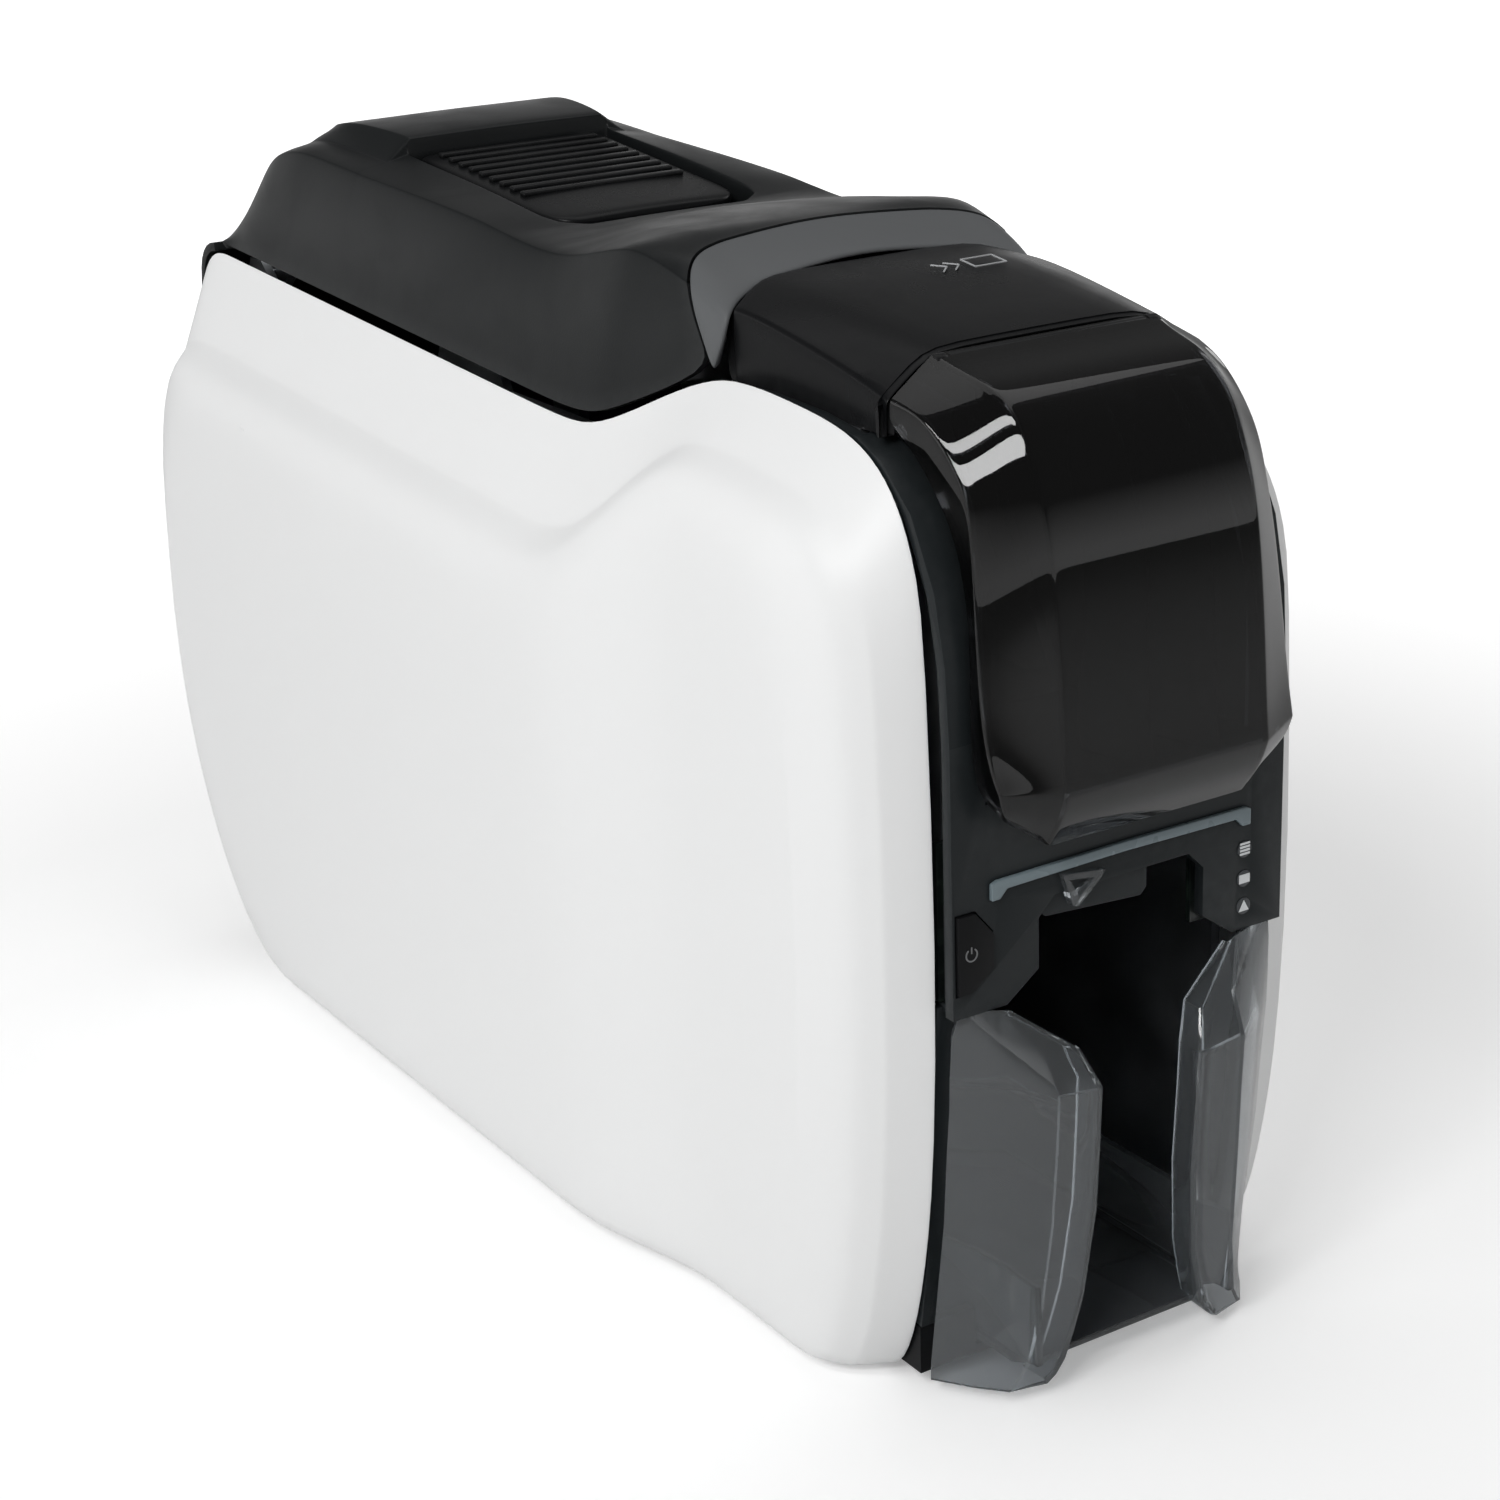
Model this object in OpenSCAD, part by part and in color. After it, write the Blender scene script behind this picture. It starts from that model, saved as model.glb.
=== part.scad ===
/* [Body] */
// Overall width over the side panels
body_w = 158; // [150:1:170]
// Overall depth
body_d = 399; // [390:1:410]
// Overall height to the top of the lid's raised bar
body_h = 266; // [262:0.5:270]
// Half distance between the rims of the two side panels behind the step
rim_rear_x = 58; // [56:0.5:60]
// How far each side panel steps inwards towards the front
side_step = 9.5; // [6:0.5:11]
// Where the step starts, from the middle of the body
step_start_y = -50; // [-60:1:-40]
// Where the step ends
step_end_y = -105; // [-115:1:-95]

/* [Side panels] */
// Wall of the side panels
panel_wall = 2.5; // [2:0.1:3]
// Underside of the side panels above the table
panel_base_z = 1.5; // [1:0.1:2.5]
// Foremost line of a panel's rim
rim_front_y = -178.5; // [-180:0.5:-176]
// Height of the rim's crest
crest_z = 233; // [231:0.5:235]
// Length of the front corner, from the crest to the front
crest_run = 62; // [55:1:70]
// Height of the rim at its dip
dip_z = 213.8; // [212:0.2:216]
// Height of the rim at the rear corner
rim_rear_z = 225; // [222:0.5:227]
// Width of the bevel between the rim and the crease
bevel_w = 10.3; // [8:0.1:11]
// Drop of the bevel along the top, behind the step
bevel_drop_rear = 25; // [20:0.5:28]
// Drop of the bevel along the top, in front of the step
bevel_drop_front = 13; // [10:0.5:16]
// Setback of the bevel at the front
bevel_back = 5; // [3:0.5:7]

/* [Chassis] */
// Half distance between the chassis walls
chassis_x = 42; // [41:0.5:43]
// Thickness of the chassis walls
chassis_wall = 2.5; // [2:0.1:3]
// Height of the card path above the table
card_z = 150; // [148:0.5:152]
// Card width
card_w = 54; // [53:0.5:55]
// Card length
card_l = 85.6; // [84:0.2:87]
// Room for one card between the rollers
card_gap = 0.8; // [0.76:0.01:1]
// Thickness of the base tray's floor
base_t = 2.5; // [2:0.1:3]
// Height of the base tray's floor
base_z = 4; // [3.5:0.1:5]
// Radius of a rubber foot
foot_r = 8; // [6:0.5:9]
// Distance of the feet from the middle, across
foot_x = 34; // [28:1:36]
// Distance of the front feet from the middle
foot_front_y = -130; // [-140:1:-120]
// Distance of the rear feet from the middle
foot_rear_y = 160; // [150:1:168]

/* [Rollers] */
// Radius of the driven rollers
roller_r = 7; // [6.5:0.1:7.4]
// Length of the driven rollers
roller_l = 56; // [52:1:58]
// Radius of the roller shafts
shaft_r = 2.5; // [2:0.1:3]
// Running clearance of a shaft in its bore
shaft_clear = 0.05; // [0.02:0.01:0.09]
// Radius of the pinch rollers
pinch_r = 4; // [3.5:0.1:4.5]
// Radius of the pinch rollers' journals
pinch_shaft_r = 1.5; // [1.2:0.1:1.8]
// Radius of the cleaning roller
clean_r = 5; // [4:0.1:5.5]
// Position of the pick roller
pick_y = -112; // [-115:0.5:-110]
// Position of the cleaning roller
clean_y = -74; // [-76:0.5:-72]
// Position of the front drive roller
front_drive_y = -48; // [-50:0.5:-46]
// Position of the platen roller
platen_y = 20; // [18:0.5:22]
// Position of the rear drive roller
rear_drive_y = 80; // [78:0.5:84]

/* [Drive] */
// Module of the gears
gear_m = 0.8; // [0.7:0.05:0.9]
// Teeth of the gear on the platen shaft
gear_teeth = 48; // [40:4:48]
// Teeth of the motor pinion
pinion_teeth = 12; // [12:1:14]
// Width of the gears
gear_w = 5; // [4:0.5:6]
// Backlash of the gear pair, at the pitch circle
gear_backlash = 0.25; // [0.15:0.05:0.35]
// Extra distance between the gear centres
gear_relief = 0.12; // [0.05:0.01:0.2]
// Radius of the pulleys under the belt
pulley_r = 6; // [5:0.25:6.5]
// Width of the timing belt
belt_w = 5; // [4:0.5:6]
// Thickness of the timing belt
belt_t = 1.2; // [1:0.1:1.5]
// Side of the motor's square body
motor_side = 27; // [24:1:28]
// Length of the motor's body
motor_l = 26; // [22:1:28]
// Radius of the motor's shaft
motor_shaft_r = 1.5; // [1.2:0.1:2]

/* [Ribbon] */
// Radius of the supply film roll
supply_r = 17; // [14:0.5:18]
// Radius of the take-up film roll
takeup_r = 10; // [9:0.5:12]
// Outer radius of a ribbon core
core_r = 7; // [6:0.25:8]
// Width of the ribbon film
film_w = 58; // [56:1:60]
// Position of the supply roll
supply_y = 66; // [64:0.5:68]
// Height of the supply roll's axis
supply_z = 184; // [182:0.5:186]
// Position of the take-up roll
takeup_y = -24; // [-26:0.5:-22]
// Height of the take-up roll's axis
takeup_z = 184; // [182:0.5:186]
// Thickness of the ribbon web
web_t = 0.4; // [0.3:0.05:0.6]

/* [Lid] */
// Wall of the lid
lid_wall = 2.4; // [2:0.1:2.8]
// Seam between the lid and the side panels
lid_seam = 2.2; // [1.5:0.1:3]
// Sideways gap between the lid and the rims
lid_side_gap = 1; // [0.6:0.1:1.4]
// Rear end of the lid
lid_rear_y = 172; // [170:0.5:174]
// Position of the lid's hinge axis
lid_axis_y = 176; // [175:0.5:177]
// Height of the lid's hinge axis
lid_axis_z = 214; // [212:0.5:215]
// Radius of the lid's hinge pins
lid_pin_r = 2.5; // [2:0.1:3]
// Half width of the well that holds the release pad
well_x = 31; // [29:0.5:33]
// Height of the lid's surface under the release pad
well_z = 245.5; // [244:0.25:247]
// Thickness of the release pad's front edge
pad_t = 4; // [3:0.25:5]
// Half width of the release pad
pad_x = 29; // [27:0.5:30]
// Front end of the release pad
pad_front_y = 12.5; // [11.5:0.5:15]
// Height of the release pad's front edge
pad_front_z = 251; // [250.5:0.25:252]
// Height of the release pad's rear edge
pad_rear_z = 259; // [257:0.25:260]
// Number of ribs on the release pad
pad_ribs = 9; // [7:1:11]
// Front end of the raised bar
bar_front_y = 91.5; // [90:0.5:94]
// Rear end of the raised bar's flat top
bar_rear_y = 122; // [118:0.5:126]
// Half width of the raised bar
bar_x = 36; // [34:0.5:38]
// Front edge of the lid at its middle
lid_front_y = -85.5; // [-88:0.5:-83]

/* [Feeder] */
// Half width of the feeder roof
roof_x = 43.5; // [42:0.5:45]
// Half width of the roof's flat middle
roof_flat_x = 30; // [28:0.5:32]
// Front end of the feeder roof
roof_front_y = -152.8; // [-155:0.2:-150]
// Height of the feeder roof at its front
roof_front_z = 245.4; // [244:0.2:247]
// Height of the feeder roof at its rear
roof_rear_z = 251.6; // [250:0.2:253]
// Drop of the roof's slanted sides
roof_side_drop = 7.6; // [6:0.2:9]
// Wall of the feeder roof
roof_wall = 2.2; // [2:0.1:2.6]
// Wall of the smoke cover
cover_wall = 2.2; // [1.8:0.1:2.6]
// Half width of the cover's flat middle
cover_flat_x = 28.4; // [26:0.2:31]
// Half width of the cover at its sides
cover_x = 42.3; // [41:0.1:43]
// Underside of the cover's lip
cover_lip_z = 141.5; // [140:0.5:143]
// Radius of the cover's hinge bead
bead_r = 2.6; // [2.2:0.1:3]
// Radius of the cover's hinge pins
cover_pin_r = 1.2; // [1:0.1:1.5]
// Gap between the cover and the roof
cover_gap = 0.5; // [0.4:0.1:0.8]

/* [Bezel] */
// Front plane of the bezel
bezel_y = -183.2; // [-184:0.2:-182]
// Thickness of the bezel
bezel_t = 3; // [2.5:0.1:3.5]
// Gap between the bezel and the rims
bezel_gap = 0.6; // [0.4:0.1:1]
// Half width of the output opening between the cheeks
mouth_x = 24; // [23:0.5:26]
// Top of the output opening
mouth_top_z = 125; // [122:0.5:128]
// Underside of the cheeks
cheek_z = 101.7; // [100:0.1:103]
// Half width of the output opening below the cheeks
bay_x = 43; // [41:0.5:44]
// Slanted corner of a cheek
cheek_cut = 6.5; // [5:0.5:8]
// Lower edge of the cover's window
window_z = 151; // [149:0.5:153]
// Half width of the cover's window
window_x = 38.5; // [37:0.5:39]
// Side of the power button
button_h = 19; // [16:0.5:20]
// Travel of the power button
button_travel = 1; // [0.6:0.1:1.4]
// Height of the power button's middle
button_z = 117; // [115:0.5:118.5]
// Half length of the light bar
light_x = 37.6; // [35:0.2:40]
// Height of the light bar
light_z = 131.4; // [130:0.2:132.4]

/* [Output hopper] */
// Wall of the output hopper
hopper_wall = 2; // [1.6:0.1:2.4]
// Half gap between the two wings
wing_in_x = 14; // [12:0.5:17]
// Where a wing's front face turns back
wing_front_x = 27.6; // [25:0.2:30]
// Outer edge of a wing
wing_out_x = 45.5; // [44:0.1:46]
// Foremost line of a wing, near its top
wing_y = -194.8; // [-197:0.2:-193]
// Top of a wing at its outer edge
wing_top_z = 100; // [96:0.5:100.5]
// Underside of the hopper
hopper_z = 3.5; // [3:0.1:5]

/* [Hidden] */
$fn = 48;
eps = 0.01;
rear_y = body_d / 2;
front_y = -body_d / 2;
rim_front_x = rim_rear_x - side_step;
// Outer face of the panels beyond the crease
face_w = body_w / 2 - rim_rear_x;
axle_z = card_z - roller_r;
pinch_z = card_z + card_gap + pinch_r;
wall_out = chassis_x + chassis_wall;
bore_r = shaft_r + shaft_clear;
deck_t = 3;

// ---- helpers ----
function clamp01(t) = min(max(t, 0), 1);
function ease(t) = let (u = clamp01(t)) u * u * (3 - 2 * u);
function mix(a, b, t) = a + (b - a) * t;
// Share of the side step that is done at y: 0 behind it, 1 in front of it
function stepped(y) = ease((step_start_y - y) / (step_start_y - step_end_y));
function rim_x(y) = rim_rear_x - side_step * stepped(y);

// Height of the rim along the top of a side panel
dip_y = -34;
rim_rear_y = 170;
crest_y = rim_front_y + crest_run;
rise_y = dip_y - 10;
front_fall = 4.5;
function rim_top(y) =
  let (slope = (rim_rear_z - dip_z) / (rim_rear_y - dip_y))
  y > dip_y ? dip_z + slope * (y - dip_y)
    : dip_z + (crest_z - dip_z) * ease((rise_y - y) / (rise_y - crest_y - 12));

// Quarter of a rounded outline: u runs from 0 at the flat end to 1 at the upright end
function corner(u, n) = pow(max(1 - pow(clamp01(u), n), 0), 1 / n);

mid_z = 112;
rear_corner = 34;
low_front_corner = 21;
low_rear_corner = 62;
top_round = 4.5;
rear_round = 2.6;
low_round = 1.9;
// Upper and lower edge of a panel's outline at y, for an outline drawn in by the insets
// ins = [front, rear, top drop in front, top drop behind, bottom]
function top_drop(y, ins) = mix(ins[3], ins[2], stepped(y));
function outline_top(y, ins) =
  let (yf = rim_front_y + ins[0], yr = rear_y - ins[1], d = top_drop(y, ins))
  y < crest_y
    ? let (u = (crest_y - y) / (crest_y - yf))
      mid_z + (crest_z - front_fall * clamp01(u) - d - mid_z) * corner(u, top_round)
  : y > yr - rear_corner
    ? let (u = (y - yr + rear_corner) / rear_corner)
      mid_z + (rim_top(y) - d - mid_z) * corner(u, rear_round)
  : rim_top(y) - d;
function outline_low(y, ins) =
  let (yf = rim_front_y + ins[0], yr = rear_y - ins[1], z0 = panel_base_z + ins[4])
  y < yf + low_front_corner
    ? mid_z - (mid_z - z0) * corner((yf + low_front_corner - y) / low_front_corner, low_round)
  : y > yr - low_rear_corner
    ? mid_z - (mid_z - z0) * corner((y - yr + low_rear_corner) / low_rear_corner, low_round)
  : z0;
// Stations along a panel, close together at both ends
stations = 36;
function station_y(j, ins) =
  let (yf = rim_front_y + ins[0], yr = rear_y - ins[1])
  mix((yf + yr) / 2 - (yr - yf) / 2 * cos(180 * j / stations), yf + (yr - yf) * j / stations, 0.35);
// Closed loop of a panel's outline at dx beyond the rim
function panel_ring(dx, ins) = concat(
  [for (j = [0:stations]) let (y = station_y(j, ins)) [rim_x(y) + dx, y, outline_top(y, ins)]],
  [for (j = [stations - 1:-1:1]) let (y = station_y(j, ins)) [rim_x(y) + dx, y, outline_low(y, ins)]]);

// Joins rings of equal length into a skin
function skin_faces(rings, n) = [for (r = [0:rings - 2]) for (k = [0:n - 1])
  [r * n + k, r * n + (k + 1) % n, (r + 1) * n + (k + 1) % n, (r + 1) * n + k]];

// ---- side panels ----
crease_ins = [bevel_back, 2, bevel_drop_front, bevel_drop_rear, 0.5];
soft_ins = [bevel_back + 6, 4, bevel_drop_front + 5, bevel_drop_rear + 6, 2];
face_ins = [bevel_back + 20, 12, bevel_drop_front + 17, bevel_drop_rear + 18, 9];
function grown(ins, w) = [for (v = ins) v + w];
module panel_shell() {
  n = 2 * stations;
  w = panel_wall;
  soft_dx = mix(bevel_w, face_w, 0.6);
  flat_dx = face_w;
  rings = [panel_ring(0, [0, 0, 0, 0, 0]), panel_ring(bevel_w, crease_ins),
    panel_ring(soft_dx, soft_ins), panel_ring(flat_dx, face_ins),
    panel_ring(flat_dx - w, grown(face_ins, w)), panel_ring(soft_dx - w, grown(soft_ins, w)),
    panel_ring(bevel_w - w, grown(crease_ins, w)), panel_ring(0, [w, w, w, w, w])];
  points = [for (r = rings) each r];
  outer = skin_faces(4, n);
  inner = [for (f = skin_faces(4, n)) [for (i = f) i + 4 * n]];
  rim = [for (k = [0:n - 1]) [7 * n + k, 7 * n + (k + 1) % n, (k + 1) % n, k]];
  // The face's strips join the upper and the lower half of its ring
  face = [for (j = [0:stations - 1]) let (a = 3 * n)
    [a + j, a + j + 1, a + (n - j - 1) % n, a + (n - j) % n]];
  back = [for (f = face) [f[3] + n, f[2] + n, f[1] + n, f[0] + n]];
  polyhedron(points, concat(outer, inner, rim, face, back));
}
// Posts that hold a panel to its chassis wall
post_r = 3.5;
posts = [[-128, 60], [-128, 185], [120, 60], [120, 180]];
module panel_posts() {
  for (p = posts)
    translate([wall_out, p[0], p[1]]) rotate([0, 90, 0])
      cylinder(r = post_r, h = rim_x(p[0]) + face_w - panel_wall / 2 - wall_out);
}
module left_side_panel() {
  color("#f1f2f2") mirror([1, 0, 0]) {
    panel_shell();
    panel_posts();
  }
}
module right_side_panel() {
  color("#f1f2f2") {
    panel_shell();
    panel_posts();
  }
}

// ---- base ----
tray_lip = 10;
tray_gap = 0.6;
tray_front_y = -168;
tray_back_y = 178.6;
function tray_x(y) = rim_x(y) - tray_gap;
tray_n = 28;
tray_ys = [for (i = [0:tray_n]) mix(tray_front_y, tray_back_y, i / tray_n)];
module tray_plan(inset) {
  right = [for (i = [0:tray_n]) let (y = tray_ys[i])
    [tray_x(y) - inset, y + (i == 0 ? inset : 0) - (i == tray_n ? inset : 0)]];
  polygon(concat(right, [for (i = [tray_n:-1:0]) [-right[i][0], right[i][1]]]));
}
board_z = 34;
board_posts = [[-32, 70], [32, 70], [-32, 170], [32, 170]];
module base_tray() {
  color("#3a3d42") difference() {
    translate([0, 0, base_z]) linear_extrude(base_t + tray_lip) tray_plan(0);
    translate([0, 0, base_z + base_t]) linear_extrude(base_t + tray_lip) tray_plan(2);
    for (i = [0:5], s = [-1, 1])
      translate([s * 20 - 9, 30 + 9 * i - 2, base_z - 1]) cube([18, 4, base_t + 2]);
    // Way for the floor of the output hopper
    translate([-31, tray_front_y - 1, wall_floor_z]) cube([62, 5, tray_lip + 1]);
  }
  color("#3a3d42") for (p = board_posts)
    translate([p[0], p[1], base_z + base_t - eps]) cylinder(r = 3, h = board_z - base_z - base_t + eps);
}
module rubber_feet() {
  color("#202020") for (s = [-1, 1], y = [foot_front_y, foot_rear_y])
    translate([s * foot_x, y, 0]) {
      cylinder(r1 = foot_r - 1, r2 = foot_r, h = 1);
      translate([0, 0, 1]) cylinder(r = foot_r, h = base_z - 1);
    }
}

// ---- outline of the rear ----
rear_gap = 0.6;
rear_wall = 2.5;
shroud_r = 12.3;
arm_x = 37.5;
arm_t = 3;
socket_z = board_z + 1.6;
usb_x = -24;
net_x = 2;
power_x = 28;
// Outer line of the rear panel from the foot up to the hinge
rear_line = [[181, 9], [188, 19], [192.5, 30], [195.2, 45], [197, 62], [198.2, 85], [198.6, 110],
  [197.8, 140], [196, 165], [193.3, 188], [190.8, 203],
  [lid_axis_y + shroud_r * cos(5), lid_axis_z + shroud_r * sin(5)]];
shroud = [for (a = [15:15:95]) [lid_axis_y + shroud_r * cos(a), lid_axis_z + shroud_r * sin(a)]];
function inward(pts, w) = [for (i = [0:len(pts) - 1])
  let (a = pts[max(i - 1, 0)], b = pts[min(i + 1, len(pts) - 1)], d = b - a, l = norm(d))
  [pts[i][0] - d[1] / l * w, pts[i][1] + d[0] / l * w]];
function rear_line_y(z) = lookup(z, [for (p = rear_line) [p[1], p[0]]]);
// Height of a rear screw and the inner face of the rear panel there
screw_x = 50;
rear_screws = [for (z = [90, 150]) [z, rear_line_y(z) - rear_wall]];

// ---- chassis walls ----
wall_front_y = -175.1;
wall_floor_z = base_z + base_t;
wall_deck_z = 207;
roof_seat_z = 229;
striker_y = 38;
striker_z = 230;
striker_r = 2;
ear_r = 6.5;
module hole(y, z, r) {
  translate([chassis_x - 1, y, z]) rotate([0, 90, 0]) cylinder(r = r, h = chassis_wall + 2);
}
module wall_plan() {
  polygon([[-160, wall_floor_z], [165, wall_floor_z], [172, 40], [172, 150],
    [lid_axis_y + 5, lid_axis_z - 12], [lid_axis_y + ear_r, lid_axis_z],
    [lid_axis_y + 4, lid_axis_z + 5.6], [lid_axis_y - 4, lid_axis_z + 5.6],
    [lid_axis_y - 16, wall_deck_z + 2], [striker_y + 20, wall_deck_z], [striker_y + 6, striker_z + 4],
    [striker_y - 6, striker_z + 4], [striker_y - 20, wall_deck_z], [-70, wall_deck_z], [-88, roof_seat_z],
    [-146, roof_seat_z], [-157, 217], [-168, 203], [wall_front_y, 184], [wall_front_y, 106], [-166, 98],
    [-164, 30]]);
}
pinch_ys = [front_drive_y, rear_drive_y];
ribbon_bore_r = 4 + shaft_clear;
flap_y = -67;
flap_z = 144.5;
flap_pin_r = 1.5;
motor_y = platen_y + 7.2;
gear_centre = gear_m * (gear_teeth + pinion_teeth) / 2 + gear_relief;
motor_z = axle_z - sqrt(gear_centre * gear_centre - 7.2 * 7.2);
motor_boss_r = 6;
clean_z = card_z + card_gap + clean_r;
module chassis_wall_blank() {
  difference() {
    union() {
      translate([chassis_x, 0, 0]) rotate([90, 0, 90]) linear_extrude(chassis_wall) wall_plan();
      for (p = rear_screws) translate([chassis_x, 165, p[0] - 4]) cube([13, p[1] - 165.6, 8]);
    }
    for (p = rear_screws) translate([screw_x, 180, p[0]]) rotate([-90, 0, 0]) cylinder(r = 1.5, h = 20);
    for (y = [pick_y, front_drive_y, platen_y, rear_drive_y]) hole(y, axle_z, bore_r);
    for (y = pinch_ys) hole(y, pinch_z, pinch_shaft_r + shaft_clear);
    hole(clean_y, clean_z, pinch_shaft_r + shaft_clear);
    hole(flap_y, flap_z, flap_pin_r + shaft_clear);
    hole(lid_axis_y, lid_axis_z, lid_pin_r);
    hole(striker_y, striker_z, striker_r);
  }
}
module left_chassis_wall() {
  color("#8f959b") mirror([1, 0, 0]) difference() {
    chassis_wall_blank();
    for (p = [[supply_y, supply_z], [takeup_y, takeup_z]]) hole(p[0], p[1], ribbon_bore_r);
    hole(motor_y, motor_z, motor_boss_r + 0.2);
  }
}
module right_chassis_wall() {
  color("#8f959b") difference() {
    chassis_wall_blank();
    for (p = [[supply_y, supply_z], [takeup_y, takeup_z]]) hole(p[0], p[1], ribbon_bore_r);
  }
}

// ---- rear panel ----
module strip_profile(pts, w) {
  back = inward(pts, w);
  polygon(concat(pts, [for (i = [len(back) - 1:-1:0]) back[i]]));
}
module along_x(half) {
  translate([-half, 0, 0]) rotate([90, 0, 90]) linear_extrude(2 * half) children();
}
module socket_hole(x, w, h, drop) {
  translate([x - w / 2, 180, socket_z - drop]) cube([w, 30, h]);
}
module rear_panel() {
  color("#3a3d42") difference() {
    along_x(rim_rear_x - rear_gap) strip_profile(concat(rear_line, shroud), rear_wall);
    socket_hole(usb_x, 12.6, 11.6, 0.3);
    socket_hole(net_x, 16.6, 13.8, 0.3);
    socket_hole(power_x, 14.6, 12.6, 0.3);
    for (s = [-1, 1])
      translate([s * arm_x - arm_t / 2 - 0.5, 150, lid_axis_z + 4]) cube([arm_t + 1, 38, 12]);
    translate([-46, 170, 44]) cube([7, 40, 3]);
    for (i = [0:6], s = [-1, 1]) translate([s * 24 - 14, 185, 110 + 8 * i]) cube([28, 30, 3]);
    for (s = [-1, 1], p = rear_screws)
      translate([s * screw_x, 180, p[0]]) rotate([-90, 0, 0]) cylinder(r = 1.6, h = 30);
  }
}
module screws() {
  color("#b8bcc0") for (s = [-1, 1], p = rear_screws)
    translate([s * screw_x, p[1] + 2.74, p[0]]) rotate([90, 0, 0]) {
      cylinder(r = 1.5, h = 9);
      translate([0, 0, -0.9]) difference() {
        cylinder(r = 2.8, h = 0.9);
        for (a = [0, 90]) rotate([0, 0, a]) translate([-1.6, -0.3, -0.6]) cube([3.2, 0.6, 1]);
      }
    }
}

// ---- boards and sockets ----
module main_board() {
  color("#2f6b46") translate([-38, 60, board_z]) cube([76, 128, 1.6]);
  color("#202225") for (c = [[-22, 84, 16, 16], [4, 96, 12, 20], [-26, 122, 10, 8], [20, 130, 9, 14]])
    translate([c[0], c[1], board_z + 1.6 - eps]) cube([c[2], c[3], 2.4]);
  color("#202225") for (x = [-12, 0, 12]) translate([x, 152, board_z + 1.6 - eps]) cylinder(r = 4, h = 11);
}
module usb_port() {
  color("#c9ccd0") translate([usb_x - 6, 178, socket_z]) difference() {
    cube([12, 16.6, 11]);
    translate([1, 6, 1]) cube([10, 12, 9]);
  }
  color("#202225") translate([usb_x - 2.8, 183, socket_z + 2.8]) cube([5.6, 9, 5.4]);
}
module ethernet_port() {
  color("#c9ccd0") translate([net_x - 8, 176, socket_z]) difference() {
    cube([16, 18.6, 13.2]);
    translate([2, 6, 2]) cube([12, 14, 8]);
    translate([5, 6, 9]) cube([6, 14, 2.6]);
  }
}
module power_inlet() {
  color("#202225") translate([power_x - 7, 178, socket_z]) difference() {
    cube([14, 16.6, 12]);
    translate([7, 8, 6]) rotate([-90, 0, 0]) cylinder(r = 3, h = 10);
  }
  color("#c9ccd0") translate([power_x, 185, socket_z + 6]) rotate([-90, 0, 0]) cylinder(r = 1.1, h = 7.5);
}

// ---- front bezel ----
bezel_out = rim_front_x - bezel_gap;
bezel_line = [[bezel_y, cheek_z], [bezel_y, 165], [-182, 184], [-178.5, 200], [-170.5, 215.5], [-160, 225],
  [-150, 228.8]];
bezel_rear_line = [[-150.5, 228.7], [-135, 230.8], [-115, 231.5], [-92, 230.6]];
bezel_low_line = [[-168.6, 16.8], [-171, 32], [-175, 72], [-177, cheek_z + 1]];
module side_strip(line, x0, x1, w) {
  for (s = [-1, 1])
    translate([s < 0 ? -x1 : x0, 0, 0]) rotate([90, 0, 90]) linear_extrude(x1 - x0) strip_profile(line, w);
}
module mouth_outline() {
  polygon([[-bay_x - 2, cheek_z - 10], [-mouth_x - 9, cheek_z], [-mouth_x, cheek_z + cheek_cut],
    [-mouth_x, mouth_top_z - 4.5], [-mouth_x + 4.5, mouth_top_z], [mouth_x - 4.5, mouth_top_z],
    [mouth_x, mouth_top_z - 4.5], [mouth_x, cheek_z + cheek_cut], [mouth_x + 9, cheek_z],
    [bay_x + 2, cheek_z - 10]]);
}
// Right part of an octagon; its left end is cut off by the edge of the bezel
button_x = -37;
button_end_x = 1.1 - bezel_out;
function button_points(g) = let (h = button_h / 2 + g, c = button_z, r = button_x + g)
  [[button_end_x - g, c - h], [r - 6, c - h], [r, c - h + 4.5], [r, c + h - 6], [r - 5, c + h],
  [button_end_x - g, c + h]];
module front_prism(y0, y1) {
  translate([0, y1, 0]) rotate([90, 0, 0]) linear_extrude(y1 - y0) children();
}
function light_points(g) = [[-light_x - g, light_z - 3.2 - g], [-light_x + 2.4 + g, light_z - 3.2 - g],
  [-light_x + 4.4, light_z - 1.1 - g], [0, light_z - 0.6 - g], [light_x - 4.4, light_z - 1.1 - g],
  [light_x - 2.4 - g, light_z - 3.2 - g], [light_x + g, light_z - 3.2 - g], [light_x + g, light_z + 0.8 + g],
  [light_x - 1.6, light_z + 1.4 + g], [0, light_z + 1.8 + g], [1.6 - light_x, light_z + 1.4 + g],
  [-light_x - g, light_z + 0.8 + g]];
icon_x = 36.4;
icon_zs = [122, 114.6, 107.6];
icon_r = 2.1;
light_depth = 1.6;
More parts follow.
